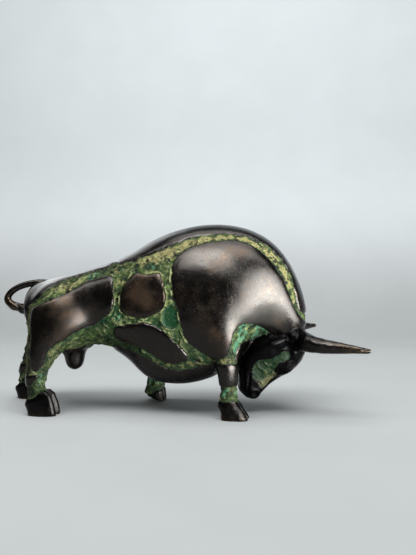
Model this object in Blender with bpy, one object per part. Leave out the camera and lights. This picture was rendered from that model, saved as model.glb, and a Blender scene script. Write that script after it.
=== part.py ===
"""A cast bronze bull, head lowered and one forefoot drawn back, standing on its own four feet.

Metres, +Z up, +X towards the head. The bull's right side faces -Y.
The whole bull is one casting, so it is one solid. It is built up as a modeller would build the wax:
rough masses are lofted and fused, the joins are softened, and then horns, ears, tail and hooves are added.
Last of all, the rough ground between the smooth shields is cut back into the surface.
"""

import math

import bmesh
import bpy
import numpy as np
from mathutils import Matrix, Vector

# Driving size: from the far hind heel to the tip of the near horn.
BULL_LENGTH = 0.290

# Every other place and size below is in millimetres of a bull that is 290 mm long.
MM = BULL_LENGTH / 290.0

# How the wax is worked
FLESH_VOXEL = 1.3
FLESH_SMOOTHING = 90
SKIN_VOXEL = 1.15
SKIN_SMOOTHING = 2
GROUND_DEPTH = 1.5
GROUND_EDGE = 1.0
CHEEK_DEPTH = 0.9
TRIANGLES = 9000

# Bronze, dark and polished
BRONZE = (0.052, 0.043, 0.037)
BRONZE_ROUGHNESS = 0.34

# Feet
HOOF_HEIGHT = 13.5
HOOF_WIDTH = 19.0
FORE_HOOF_LENGTH = 20.0
HIND_HOOF_LENGTH = 22.5
CLEFT_SPREAD = 0.05
CLAW_OVERLAP = 0.9
SOLE_SINK = 1.5
SOLE_TRIM = 0.12

# Nearer than this, points of a cut sole become one; metres
MERGE_DISTANCE = 0.00009

# Head, built along its own axis from poll to muzzle and then set on the neck
HEAD_POLL = (88.0, 4.0, 56.0)
HEAD_TILT = math.radians(40)
HEAD_YAW = math.radians(20)
HEAD_ROLL = math.radians(5.5)

# Tail
TAIL_RADIUS = 2.7
TAIL_TUFT_RADIUS = 4.6

RING_POINTS = 40
SPLINE_STEPS = 6

# Squareness of the sections: 2 is an ellipse
TRUNK_SQUARENESS = 2.15
LEG_SQUARENESS = 2.2
HEAD_SQUARENESS = 2.5
CLAW_SQUARENESS = 2.2

# Smooth shields left standing in the rough ground, as outlines seen from the side: x, z
CREST_SHIELD = (
    (-44, 114), (-34, 115), (-18, 120.5), (4, 128.5), (15.5, 132.5), (36, 135), (52, 133), (67, 127),
    (77, 119), (86.5, 104.5), (90, 89), (95.5, 75), (115, 85), (95, 135), (35, 158), (-20, 145), (-50, 122),
)
RUMP_SHIELD = (
    (-51, 112.5), (-58, 110.5), (-72, 106), (-88, 101.5), (-97, 94), (-106, 86), (-113, 80.5),
    (-117, 72), (-135, 75), (-125, 110), (-85, 125), (-55, 122),
)
FLANK_SHIELD = (
    (-27.5, 106), (-19, 104.5), (-9.5, 105.5), (-5, 94.5), (-5, 82), (-12.5, 75.5), (-22.5, 73),
    (-36, 75.5), (-39.5, 82), (-37.5, 94.5), (-32.5, 102.5),
)
BELLY_SHIELD = (
    (-48, 49), (-36, 47.5), (-24.5, 44.5), (-13, 38.5), (-5, 34.5), (7, 33), (20, 36), (28, 37.5), (31, 28),
    (45, 0), (-40, 0), (-60, 30),
)
THIGH_SHIELD = (
    (-48, 104), (-66, 100.5), (-80, 92), (-99.5, 83.5), (-107.5, 79.5), (-108.5, 69.5), (-106, 58),
    (-106, 39), (-101, 33.5), (-95, 39.5), (-92, 48), (-84, 54), (-70.5, 63), (-56.5, 69),
    (-46, 79.5), (-45, 92),
)
HOCK_SHIELD = ((-116, 31), (-108, 30), (-100, 29.5), (-104, 25), (-107.5, 21.5), (-116, 22))
THROAT_SHIELD = (
    (71, 60.5), (66.5, 58), (62, 56.3), (57.3, 55), (52.9, 54.5), (50, 52.3), (48.5, 49.3), (47.8, 44),
    (48, 36), (60, 20), (100, 20), (100, 48), (84, 54),
)
NECK_FRONT = (
    (2.5, 117), (12, 124), (26, 128), (47, 129.5), (65, 121), (79, 105), (87, 86), (92.5, 74), (104, 60),
    (90, 50), (78, 56), (70.5, 61), (66, 64.5), (60, 67.5), (54, 68.3),
)
NEAR_SHOULDER_BACK = (
    (49.5, 66.5), (46.5, 62.5), (45, 57.5), (43.5, 52), (41, 46.5), (37, 43.5), (31, 43.5), (21, 49), (12, 57),
    (8, 68), (6, 78), (2, 88), (0.5, 104),
)
FAR_SHOULDER_BACK = (
    (44, 56), (31, 46), (20, 42.5), (6, 43.5), (1, 52), (3, 66), (4, 78), (2, 88), (0.5, 104),
)
NEAR_SIDE_SHIELD = (
    (-44.5, 64), (-34, 67), (-22.5, 69), (-12, 67), (-1.5, 60), (8.5, 49.5), (11.5, 42),
    (-2, 38.5), (-8, 41), (-18, 48), (-30, 52.5), (-44, 55),
)
FAR_SIDE_SHIELD = (
    (-44.5, 64), (-34, 67), (-22.5, 69), (-12, 67), (-4.5, 58), (-8, 48), (-18, 48), (-30, 52.5),
    (-44, 55),
)

# The far hind leg's shift fades in between these ways back from the middle
FAR_HIND_FADE = (62, 92)

# Shields on the lower forelegs: between these heights, and where those legs are: x from, x to, how far out, top
SHIN_SHIELD = (24, 40)
NEAR_SHIN_PLACE = (28, 56, 20, 42)
FAR_SHIN_PLACE = (-45, 18, 20, 42)

# Seen from behind, under the tail and back of this x: y, z
SEAT_START = -104
SEAT_SHIELD = ((0, 95), (13, 88), (15, 74), (11, 60), (0, 53), (-11, 60), (-15, 74), (-13, 88))

# Rough patch on each cheek, in the head's own frame: along the axis, out of the axis
CHEEK_PATCH = (
    (37.7, -14.4), (32.2, -15), (28.3, -12.5), (23.8, -8.9), (19, -7.2), (14.3, -5.9), (12.1, -2.7), (13.8, 0.1),
    (18.1, 0.7), (22.1, -2), (25.3, -2.5), (29.4, -1), (31, 3), (35.6, 3.2), (41.7, 3), (45.9, 1.5),
    (44.3, -3.3), (43.6, -7.7), (41.3, -11),
)

SHIELDS_OF_BOTH_SIDES = (CREST_SHIELD, RUMP_SHIELD, FLANK_SHIELD, BELLY_SHIELD, THROAT_SHIELD)

# The far hind leg stands further back: by so much at each of these heights
FAR_HIND_HEIGHTS = (25, 36, 47, 61, 76, 88)
FAR_HIND_SHIFTS = (-33, -30.3, -25.6, -17, -9, -4)

# Hoops of the trunk, rump to neck: crest x and z, keel x and z, half width, share of the height where it is widest
TRUNK_HOOPS = (
    (-123, 92, -121, 74, 10, 0.50),
    (-117, 97.5, -119, 58, 22, 0.52),
    (-103, 101.5, -108, 46, 29, 0.55),
    (-82, 106.5, -85, 43.5, 31, 0.56),
    (-60, 112.5, -62, 48.5, 29, 0.52),
    (-39, 120.5, -42, 40, 31, 0.48),
    (-18, 132, -24, 24, 35.5, 0.44),
    (2, 139.5, -4, 19.5, 38.5, 0.42),
    (22, 142.7, 15, 21.5, 40.5, 0.42),
    (42, 141.8, 32, 28, 41, 0.44),
    (59, 136.8, 45, 37, 39, 0.46),
    (73, 128, 53, 46, 35.5, 0.48),
    (84, 115, 57, 53, 31.5, 0.50),
    (91.5, 100, 60, 56, 27, 0.50),
    (96.5, 84, 63, 56, 22.5, 0.50),
    (98.3, 71, 68, 53.5, 18.5, 0.50),
    (98.5, 64, 74, 50, 14.5, 0.50),
)

# Hoops of the head: way along the axis, face, jaw, half width
HEAD_HOOPS = (
    (-9, -3, -16, 10.0),
    (-6, 4.5, -19, 15.5),
    (1, 10, -22, 18.5),
    (11, 14, -25, 18.5),
    (22, 13.0, -26.5, 17.0),
    (31, 9.5, -25.5, 14.0),
    (39, 7.0, -23.5, 11.5),
    (47, 6.3, -18, 11.0),
    (53, 6.0, -12, 10.5),
    (56.5, 4.0, -9, 8.0),
    (58.3, 0, -5.5, 4.5),
)

# Limbs: x, y, z of the bone line, then half depth (fore and aft) and half width (across)
NEAR_FORELEG = (
    (24, -14, 104, 20, 13),
    (28, -20, 88, 27, 18),
    (33, -26, 70, 23, 16),
    (38.5, -29, 55, 14.5, 12.5),
    (40.2, -30, 43, 9.6, 10),
    (40.8, -31, 32, 8.2, 8.6),
    (41.3, -31, 23, 7.6, 8.0),
    (41.6, -31, 15, 8.3, 8.4),
    (42.5, -31, 8, 7.0, 7.6),
)
FAR_FORELEG = (
    (28, 14, 100, 20, 13),
    (30, 20, 84, 27, 18),
    (27, 26, 66, 21, 15),
    (17, 29, 50, 13.5, 12),
    (4, 31, 37, 9.6, 10),
    (-12, 31.5, 28, 8.4, 8.6),
    (-22, 31.5, 21, 8.0, 8.2),
    (-25.5, 31.5, 14, 8.2, 8.4),
    (-26, 31.5, 9, 7.6, 7.8),
)
NEAR_HIND_LEG = (
    (-78, -9, 90, 14, 8),
    (-82, -15, 84, 24, 14.5),
    (-88, -22, 74, 25.5, 16),
    (-95, -26, 60, 19.5, 14.5),
    (-100.5, -29, 46, 13.5, 12),
    (-103, -31, 34, 10.4, 10),
    (-104.4, -31, 24, 8.4, 8.6),
    (-104.6, -31, 16, 8.6, 8.6),
    (-103, -31, 8, 8.0, 7.8),
)
FAR_HIND_LEG = (
    (-80, 9, 90, 14, 8),
    (-86, 15, 85, 24, 14.5),
    (-97, 22, 76, 25, 16),
    (-112, 27, 61, 18.5, 14.5),
    (-126, 30, 47, 12.6, 12),
    (-133, 31, 36, 10.2, 10),
    (-137.5, 31, 25, 8.4, 8.6),
    (-139.5, 31, 16, 8.6, 8.6),
    (-138, 31, 8, 8.0, 7.8),
)

# A claw from sole to coronet: share of the height, heel and toe as shares of the length, share of the width
FORE_CLAW = (
    (-SOLE_SINK / HOOF_HEIGHT, -0.46, 0.52, 1.0),
    (0.08, -0.47, 0.51, 1.02),
    (0.40, -0.47, 0.39, 0.99),
    (0.75, -0.57, 0.23, 0.90),
    (1.0, -0.56, 0.10, 0.76),
)
HIND_CLAW = (
    (-SOLE_SINK / HOOF_HEIGHT, -0.46, 0.52, 1.0),
    (0.10, -0.47, 0.52, 1.02),
    (0.50, -0.50, 0.46, 1.00),
    (0.95, -0.57, 0.34, 0.90),
    (1.25, -0.55, 0.16, 0.72),
)

# Hooves: x and y of the middle of the sole, length, claw, pitch of the sole, lift of its middle, rise of the coronet
HOOVES = (
    (45.3, -31, FORE_HOOF_LENGTH, FORE_CLAW, 0, 0, 0.05),
    (-28.0, 31.5, FORE_HOOF_LENGTH, FORE_CLAW, 23, 4.6, 0),
    (-99.0, -31, HIND_HOOF_LENGTH, HIND_CLAW, 0, 0, 0.42),
    (-135.0, 31, HIND_HOOF_LENGTH, HIND_CLAW, 0, 0, 0.42),
)

# Horn: in the head's own frame, along the axis, out of the face, outwards, radius
HORN = (
    (2.7, -7, 10, 9.3),
    (0.2, -1.5, 21, 7.6),
    (-3.8, 5, 31, 5.9),
    (-9.6, 12.3, 39.5, 4.6),
    (-16.4, 20.7, 46.5, 3.2),
    (-23.2, 30.0, 52.5, 1.5),
)

# Ear, in the same frame: along, out, outwards, half width, half thickness
EAR = (
    (6, -6, 13, 3.6, 2.8),
    (8.5, -9.5, 17, 4.8, 3.0),
    (11.5, -13.5, 19.5, 5.2, 2.8),
    (14.5, -17, 20.5, 3.8, 2.2),
    (16.5, -19.5, 20.5, 1.4, 1.2),
)

# Brow over each eye, in the same frame: its middle, and half its length, depth and width
BROW_PLACE = (20.5, 5.5, 11.5)
BROW_RADII = (8.5, 5.0, 6.5)

# Tail: x, y, z and radius as a share between plain and tuft
TAIL = (
    (-98, 2, 95, 0.3),
    (-106, 0, 98, 0.1),
    (-116, -2, 98.6, 0.0),
    (-127, -4, 96.2, 0.0),
    (-135, -5, 91.8, 0.0),
    (-138.6, -5, 86.2, 0.1),
    (-135.5, -5, 81.4, 0.3),
    (-129, -4, 78.8, 0.6),
    (-121, -3, 76.5, 1.0),
    (-113, -2, 73, 1.0),
)


def clear_scene():
    for obj in list(bpy.data.objects):
        bpy.data.objects.remove(obj, do_unlink=True)


def smooth_rows(rows, steps=SPLINE_STEPS):
    """Catmull-Rom through the rows of a table, so that a few hoops make a smooth form."""
    rows = np.array(rows, float)
    ends = np.vstack([2 * rows[0] - rows[1], rows, 2 * rows[-1] - rows[-2]])
    out = []
    for i in range(1, len(ends) - 2):
        a, b, c, d = ends[i - 1 : i + 3]
        for t in np.arange(steps) / steps:
            out.append(
                b + 0.5 * t * (c - a + t * (2 * a - 5 * b + 4 * c - d + t * (3 * (b - c) + d - a)))
            )
    out.append(rows[-1])
    return out


def power_circle(count, power):
    """Points round a rounded square: power 2 is a circle, more is squarer."""
    turns = np.arange(count) / count * 2 * math.pi
    c, s = np.cos(turns), np.sin(turns)
    return np.sign(c) * np.abs(c) ** (2 / power), np.sign(s) * np.abs(s) ** (2 / power)


def shell(name, rings):
    """A closed mesh object through rings of points, in millimetres, with a point at each end."""
    work = bmesh.new()
    layers = [[work.verts.new(Vector(p) * MM) for p in ring] for ring in rings]
    count = len(layers[0])
    for low, high in zip(layers, layers[1:]):
        for i in range(count):
            j = (i + 1) % count
            work.faces.new((low[i], low[j], high[j], high[i]))
    for layer in (layers[0], layers[-1]):
        middle = sum((v.co for v in layer), Vector()) / count
        pole = work.verts.new(middle)
        for i in range(count):
            work.faces.new((layer[i], layer[(i + 1) % count], pole))
    bmesh.ops.recalc_face_normals(work, faces=work.faces)
    mesh = bpy.data.meshes.new(name)
    work.to_mesh(mesh)
    work.free()
    made = bpy.data.objects.new(name, mesh)
    bpy.context.scene.collection.objects.link(made)
    return made


def trunk():
    """Barrel, hump and neck as hoops that stand between crest and keel."""
    side, height = power_circle(RING_POINTS, TRUNK_SQUARENESS)
    rings = []
    for cx, cz, kx, kz, half_width, widest in smooth_rows(TRUNK_HOOPS):
        crest, keel = np.array((cx, 0, cz)), np.array((kx, 0, kz))
        belt = keel + (crest - keel) * widest
        rings.append(
            [
                belt + (crest - belt if h > 0 else belt - keel) * h + np.array((0, half_width * s, 0))
                for s, h in zip(side, height)
            ]
        )
    return shell("trunk", rings)


def limb(name, rows):
    """A leg as round sections, each square to the bone line at its place."""
    rows = smooth_rows(rows)
    bone = np.array([r[:3] for r in rows])
    along = np.gradient(bone, axis=0)
    across, fore = power_circle(RING_POINTS // 2, LEG_SQUARENESS)
    rings = []
    for (x, y, z, depth, width), way in zip(rows, along):
        way = way / np.linalg.norm(way)
        forward = np.cross((0, 1, 0), way)
        forward /= np.linalg.norm(forward)
        outward = np.cross(way, forward)
        rings.append(
            [np.array((x, y, z)) + forward * depth * f + outward * width * a for a, f in zip(across, fore)]
        )
    return shell(name, rings)


def ball(name, centre, radii, frame=None):
    """An ellipsoid mass, turned by frame if it is given."""
    work = bmesh.new()
    bmesh.ops.create_uvsphere(work, u_segments=24, v_segments=16, radius=1.0)
    turn = frame or Matrix.Identity(3)
    for v in work.verts:
        v.co = (turn @ Vector(a * r for a, r in zip(v.co, radii)) + Vector(centre)) * MM
    mesh = bpy.data.meshes.new(name)
    work.to_mesh(mesh)
    work.free()
    made = bpy.data.objects.new(name, mesh)
    bpy.context.scene.collection.objects.link(made)
    return made


def head_frame():
    """Rows: along the axis to the muzzle, out of the face, across to the bull's left."""
    turn = Matrix.Rotation(HEAD_YAW, 3, "Z") @ Matrix.Rotation(HEAD_ROLL, 3, "X")
    along = turn @ Vector((-math.sin(HEAD_TILT), 0, -math.cos(HEAD_TILT)))
    face = turn @ Vector((math.cos(HEAD_TILT), 0, -math.sin(HEAD_TILT)))
    return np.array((along, face, turn @ Vector((0, 1, 0))))


def on_head(along, out, side):
    """A point of the head's own frame, in the bull's."""
    return np.array(HEAD_POLL) + np.array((along, out, side)) @ head_frame()


def head():
    side, out = power_circle(RING_POINTS, HEAD_SQUARENESS)
    rings = []
    for s, face, jaw, half_width in smooth_rows(HEAD_HOOPS):
        rings.append([on_head(s, (face if o > 0 else -jaw) * o, half_width * a) for a, o in zip(side, out)])
    return shell("head", rings)


def brow(way):
    """The ridge over an eye."""
    along, out, side = BROW_PLACE
    return ball("brow", on_head(along, out, way * side), BROW_RADII, Matrix(head_frame().tolist()).transposed())


def ear(way):
    """A drooping leaf behind the horn."""
    long, flat = power_circle(16, 2.0)
    rings = []
    for s, out, side, width, thickness in smooth_rows(EAR):
        rings.append([on_head(s + width * u, out, way * (side + thickness * v)) for u, v in zip(long, flat)])
    return shell("ear", rings)


def tube(name, rows):
    """A round tapering rod along points, each with its radius."""
    rows = smooth_rows(rows)
    line = np.array([r[:3] for r in rows])
    along = np.gradient(line, axis=0)
    turns = np.arange(16) / 16 * 2 * math.pi
    across = np.array((0.0, 1.0, 0.0))
    rings = []
    for row, way in zip(rows, along):
        way = way / np.linalg.norm(way)
        across = across - way * across.dot(way)
        across /= np.linalg.norm(across)
        third = np.cross(way, across)
        rings.append([row[:3] + row[3] * (across * math.cos(t) + third * math.sin(t)) for t in turns])
    return shell(name, rings)


def horn(way):
    rows = [(*on_head(s, out, way * side), radius) for s, out, side, radius in HORN]
    return tube("horn", rows)


def tail():
    rows = [(x, y, z, TAIL_RADIUS + (TAIL_TUFT_RADIUS - TAIL_RADIUS) * t) for x, y, z, t in TAIL]
    return tube("tail", rows)


def scrotum():
    rows = (
        (-83, 0, 54, 8.0, 8.5),
        (-84, 0, 46, 7.6, 8.5),
        (-84.8, 0, 39, 8.4, 9),
        (-85, 0, 33.5, 7.8, 8.5),
        (-85, 0, 29.6, 4.8, 5.5),
        (-85, 0, 28.2, 1.5, 2),
    )
    return limb("scrotum", rows)


def hoof(x, y, length, claw, pitch, lift, rise):
    """Two claws side by side, their toes a little apart, with the heel hollowed under the pastern."""
    tilt = Matrix.Rotation(math.radians(pitch), 3, "Y")
    claw_width = HOOF_WIDTH / 4
    side, fore = power_circle(20, CLAW_SQUARENESS)
    made = []
    for way in (-1, 1):
        rings = []
        for level, heel, toe, spread in claw:
            middle, half = (heel + toe) / 2 * length, (toe - heel) / 2 * length
            ring = []
            for a, f in zip(side, fore):
                reach = middle + half * f
                out = way * (claw_width * (1 + a * spread) + CLEFT_SPREAD * max(reach, 0) - CLAW_OVERLAP)
                up = level * HOOF_HEIGHT + rise * max(level, 0) * reach
                ring.append(tilt @ Vector((reach, out, up)) + Vector((x, y, lift)))
            rings.append(ring)
        made.append(shell("claw", rings))
    return made


def smooth_loop(outline):
    """A closed outline, rounded through its points."""
    loop = np.array(outline, float)
    count = len(loop)
    out = []
    for i in range(count):
        a, b, c, d = (loop[(i + k) % count] for k in (-1, 0, 1, 2))
        for t in (0.0, 0.25, 0.5, 0.75):
            out.append(
                b + 0.5 * t * (c - a + t * (2 * a - 5 * b + 4 * c - d + t * (3 * (b - c) + d - a)))
            )
    return np.array(out)


def beyond(places, outline):
    """How far each place lies outside an outline, less than nothing when it is inside."""
    loop = smooth_loop(outline)
    nearest = np.full(len(places), np.inf)
    inside = np.zeros(len(places), bool)
    for start, end in zip(loop, np.roll(loop, -1, axis=0)):
        edge = end - start
        share = np.clip(((places - start) @ edge) / (edge @ edge), 0, 1)
        nearest = np.minimum(nearest, np.linalg.norm(places - start - share[:, None] * edge, axis=1))
        rises = (start[1] > places[:, 1]) != (end[1] > places[:, 1])
        if edge[1]:
            crossing = start[0] + edge[0] * (places[:, 1] - start[1]) / edge[1]
            inside ^= rises & (places[:, 0] < crossing)
    return np.where(inside, -nearest, nearest)


def ramp(values, low, high):
    share = np.clip((values - low) / (high - low), 0, 1)
    return share * share * (3 - 2 * share)


def within(place, x, out, z):
    """Whether each point is on the lower foreleg that stands in this place."""
    start, end, side, top = place
    return (x > start) & (x < end) & (out > side) & (z < top)


def beyond_shields(points):
    """How far each point of the body is from the nearest shield, in millimetres."""
    x, y, z = points.T
    from_side = points[:, (0, 2)]
    hind = ramp(-x, *FAR_HIND_FADE) * np.interp(z, FAR_HIND_HEIGHTS, FAR_HIND_SHIFTS)
    from_far_side = np.stack((x - hind, z), axis=1)
    both = [beyond(from_side, outline) for outline in SHIELDS_OF_BOTH_SIDES]
    near = [beyond(from_side, o) for o in (THIGH_SHIELD, HOCK_SHIELD, NECK_FRONT + NEAR_SHOULDER_BACK)]
    near.append(beyond(from_side, NEAR_SIDE_SHIELD))
    far = [beyond(from_far_side, outline) for outline in (THIGH_SHIELD, HOCK_SHIELD)]
    far += [beyond(from_side, o) for o in (NECK_FRONT + FAR_SHOULDER_BACK, FAR_SIDE_SHIELD)]
    gap = np.where(y < 0, np.min(near, axis=0), np.min(far, axis=0))
    gap = np.minimum(gap, np.min(both, axis=0))
    seat = beyond(points[:, (1, 2)], SEAT_SHIELD)
    gap = np.where(x < SEAT_START, np.minimum(gap, seat), gap)
    shin = np.abs(z - sum(SHIN_SHIELD) / 2) - (SHIN_SHIELD[1] - SHIN_SHIELD[0]) / 2
    near_shin, far_shin = within(NEAR_SHIN_PLACE, x, -y, z), within(FAR_SHIN_PLACE, x, y, z)
    return np.where(near_shin | far_shin, shin, gap)


def sink(obj, depths):
    """Push every vertex in along its normal, by its own depth in millimetres."""
    normals = np.array([v.normal for v in obj.data.vertices])
    for v, normal, depth in zip(obj.data.vertices, normals, depths):
        v.co -= Vector(normal) * (depth * MM)
    obj.data.update()


def points_of(obj):
    return np.array([v.co for v in obj.data.vertices]) / MM


def cut_ground(flesh):
    """Lower the rough ground between the shields."""
    gap = beyond_shields(points_of(flesh))
    sink(flesh, GROUND_DEPTH * ramp(gap, -GROUND_EDGE / 2, GROUND_EDGE / 2))


def cut_cheeks(skull):
    """Lower the rough patch on each cheek."""
    local = (points_of(skull) - np.array(HEAD_POLL)) @ head_frame().T
    gap = beyond(local[:, :2], CHEEK_PATCH)
    on_side = ramp(np.abs(local[:, 2]), 6, 8)
    sink(skull, CHEEK_DEPTH * on_side * (1 - ramp(gap, -GROUND_EDGE / 2, GROUND_EDGE / 2)))


def joined(objects, name):
    """One object that holds all these shells."""
    work = bmesh.new()
    for obj in objects:
        work.from_mesh(obj.data)
        bpy.data.objects.remove(obj, do_unlink=True)
    mesh = bpy.data.meshes.new(name)
    work.to_mesh(mesh)
    work.free()
    made = bpy.data.objects.new(name, mesh)
    bpy.context.scene.collection.objects.link(made)
    return made


def fused(obj, voxel, smoothing):
    """The shells of obj as one skin, its joins softened."""
    remesh = obj.modifiers.new("fuse", "REMESH")
    remesh.mode = "VOXEL"
    remesh.voxel_size = voxel * MM
    soften = obj.modifiers.new("soften", "SMOOTH")
    soften.factor = 0.5
    soften.iterations = smoothing
    return applied(obj)


def applied(obj):
    graph = bpy.context.evaluated_depsgraph_get()
    mesh = bpy.data.meshes.new_from_object(obj.evaluated_get(graph))
    obj.modifiers.clear()
    obj.data = mesh
    return obj


def thinned(obj):
    """As few facets as the form allows."""
    obj.data.calc_loop_triangles()
    thin = obj.modifiers.new("thin", "DECIMATE")
    thin.ratio = TRIANGLES / len(obj.data.loop_triangles)
    thin.use_collapse_triangulate = True
    return applied(obj)


def level_soles(obj):
    """Cut the soles off flat along the ground."""
    depth = BULL_LENGTH / 10
    bpy.ops.mesh.primitive_cube_add(size=1, location=(0, 0, -depth / 2))
    ground = bpy.context.object
    ground.name = "ground_cutter"
    ground.scale = (2 * BULL_LENGTH, BULL_LENGTH, depth)
    ground.hide_render = True
    ground.display_type = "WIRE"
    cut = obj.modifiers.new("level soles", "BOOLEAN")
    cut.operation = "DIFFERENCE"
    cut.solver = "EXACT"
    cut.object = ground
    bpy.context.view_layer.update()
    applied(obj)
    bpy.data.objects.remove(ground, do_unlink=True)
    work = bmesh.new()
    work.from_mesh(obj.data)
    for v in work.verts:
        if v.co.z < SOLE_TRIM * MM:
            v.co.z = 0.0
    bmesh.ops.remove_doubles(work, verts=work.verts, dist=MERGE_DISTANCE)
    bmesh.ops.dissolve_degenerate(work, edges=work.edges, dist=MERGE_DISTANCE / 10)
    bmesh.ops.triangulate(work, faces=work.faces)
    work.to_mesh(obj.data)
    work.free()
    return obj


def centre(obj):
    """Put the origin on the ground, under the middle of the bull."""
    corners = np.array([v.co for v in obj.data.vertices])
    middle = (corners.min(axis=0) + corners.max(axis=0)) / 2
    obj.data.transform(Matrix.Translation((-middle[0], -middle[1], 0)))


def bronze():
    material = bpy.data.materials.new("bronze")
    material.use_nodes = True
    shader = material.node_tree.nodes["Principled BSDF"]
    shader.inputs["Base Color"].default_value = (*BRONZE, 1)
    shader.inputs["Roughness"].default_value = BRONZE_ROUGHNESS
    shader.inputs["Metallic"].default_value = 1.0
    return material


def main():
    clear_scene()
    legs = [
        limb("near_foreleg", NEAR_FORELEG),
        limb("far_foreleg", FAR_FORELEG),
        limb("near_hind_leg", NEAR_HIND_LEG),
        limb("far_hind_leg", FAR_HIND_LEG),
    ]
    flesh = joined([trunk(), *legs, scrotum()], "flesh")
    flesh = fused(flesh, FLESH_VOXEL, FLESH_SMOOTHING)
    cut_ground(flesh)
    skull = head()
    cut_cheeks(skull)
    trims = [skull, tail()]
    for way in (-1, 1):
        trims += [horn(way), ear(way), brow(way)]
    for foot in HOOVES:
        trims += hoof(*foot)
    bull = joined([flesh, *trims], "bull")
    fused(bull, SKIN_VOXEL, SKIN_SMOOTHING)
    thinned(bull)
    level_soles(bull)
    centre(bull)
    bull.data.materials.clear()
    bull.data.materials.append(bronze())


main()
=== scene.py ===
"""The looks of a cast bronze bull: its carved skin, its polish and patina, and a plain studio round it.

The casting is modelled again here, finer than in the frame, with beads, wrinkles, pits, eyes and hooves.
The tables below are millimetres of the bull, +X towards the head, +Z up, its right side facing -Y.
"""

import math

import bmesh
import bpy
import numpy as np
from bpy.props import FloatProperty, FloatVectorProperty, IntProperty, PointerProperty
from mathutils import Matrix, Vector, kdtree, noise
from mathutils.bvhtree import BVHTree


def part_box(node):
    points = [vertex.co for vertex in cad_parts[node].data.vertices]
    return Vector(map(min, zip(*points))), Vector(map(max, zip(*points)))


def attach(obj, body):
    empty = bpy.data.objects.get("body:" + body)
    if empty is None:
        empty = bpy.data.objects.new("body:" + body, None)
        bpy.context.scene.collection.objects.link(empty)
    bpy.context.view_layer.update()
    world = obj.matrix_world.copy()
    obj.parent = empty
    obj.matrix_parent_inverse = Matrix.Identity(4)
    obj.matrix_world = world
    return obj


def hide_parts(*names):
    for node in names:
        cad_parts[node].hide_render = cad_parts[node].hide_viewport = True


bl_info = {
    "name": "Bronze Bull",
    "version": (1, 0, 0),
    "blender": (4, 5, 0),
    "location": "View3D > Sidebar > Bull",
    "description": "Carves and patinates a cast bronze bull and stands it in a studio",
    "category": "Object",
}

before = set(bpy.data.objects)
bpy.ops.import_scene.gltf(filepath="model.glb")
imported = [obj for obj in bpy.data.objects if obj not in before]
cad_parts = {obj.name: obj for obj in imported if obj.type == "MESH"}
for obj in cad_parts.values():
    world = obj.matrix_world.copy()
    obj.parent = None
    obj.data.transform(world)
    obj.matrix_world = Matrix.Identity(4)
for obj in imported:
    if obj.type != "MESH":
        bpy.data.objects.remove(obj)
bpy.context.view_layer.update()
LOWEST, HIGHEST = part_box("bull")

# The frame's length, and the same length in the millimetres of the tables
CASTING_LENGTH = HIGHEST.x - LOWEST.x
TABLE_LENGTH = 289.0
UNIT = CASTING_LENGTH / TABLE_LENGTH

# Softening of the first, rough masses
FLESH_VOXEL = 1.3
FLESH_SMOOTHING = 90
SKIN_SMOOTHING = 2

# Feet
HOOF_HEIGHT = 13.5
HOOF_WIDTH = 19.0
FORE_HOOF_LENGTH = 20.0
HIND_HOOF_LENGTH = 22.5
CLEFT_SPREAD = 0.05
CLAW_OVERLAP = 0.9
SOLE_SINK = 1.5

# Head, built along its own axis from poll to muzzle and then set on the neck
HEAD_POLL = (88.0, 4.0, 56.0)
HEAD_TILT = math.radians(40)
HEAD_YAW = math.radians(20)
HEAD_ROLL = math.radians(5.5)

# Tail
TAIL_RADIUS = 2.7
TAIL_TUFT_RADIUS = 4.6

RING_POINTS = 40
SPLINE_STEPS = 6

# Squareness of the sections: 2 is an ellipse
TRUNK_SQUARENESS = 2.15
LEG_SQUARENESS = 2.2
HEAD_SQUARENESS = 2.5
CLAW_SQUARENESS = 2.2

# Smooth shields left standing in the rough ground, as outlines seen from the side: x, z
CREST_SHIELD = (
    (-44, 114), (-34, 115), (-18, 120.5), (4, 128.5), (15.5, 132.5), (36, 135), (52, 133), (67, 127),
    (77, 119), (86.5, 104.5), (90, 89), (95.5, 75), (115, 85), (95, 135), (35, 158), (-20, 145),
    (-50, 122),
)
RUMP_SHIELD = (
    (-51, 112.5), (-58, 110.5), (-72, 106), (-88, 101.5), (-97, 94), (-106, 86), (-113, 80.5),
    (-117, 72), (-135, 75), (-125, 110), (-85, 125), (-55, 122),
)
FLANK_SHIELD = (
    (-27.5, 106), (-19, 104.5), (-9.5, 105.5), (-5, 94.5), (-5, 82), (-12.5, 75.5), (-22.5, 73),
    (-36, 75.5), (-39.5, 82), (-37.5, 94.5), (-32.5, 102.5),
)
BELLY_SHIELD = (
    (-48, 49), (-36, 47.5), (-24.5, 44.5), (-13, 38.5), (-5, 34.5), (7, 33), (20, 36), (28, 37.5),
    (31, 28), (45, 0), (-40, 0), (-60, 30),
)
THIGH_SHIELD = (
    (-48, 104), (-66, 100.5), (-80, 92), (-99.5, 83.5), (-107.5, 79.5), (-108.5, 69.5), (-106, 58),
    (-106, 39), (-101, 33.5), (-95, 39.5), (-92, 48), (-84, 54), (-70.5, 63), (-56.5, 69),
    (-46, 79.5), (-45, 92),
)
HOCK_SHIELD = ((-116, 31), (-108, 30), (-100, 29.5), (-104, 25), (-107.5, 21.5), (-116, 22))
THROAT_SHIELD = (
    (71, 60.5), (66.5, 58), (62, 56.3), (57.3, 55), (52.9, 54.5), (50, 52.3), (48.5, 49.3), (47.8, 44),
    (48, 36), (60, 20), (100, 20), (100, 48), (84, 54),
)
NECK_FRONT = (
    (2.5, 117), (12, 124), (26, 128), (47, 129.5), (65, 121), (79, 105), (87, 86), (92.5, 74),
    (104, 60), (90, 50), (78, 56), (70.5, 61), (66, 64.5), (60, 67.5), (54, 68.3),
)
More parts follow.
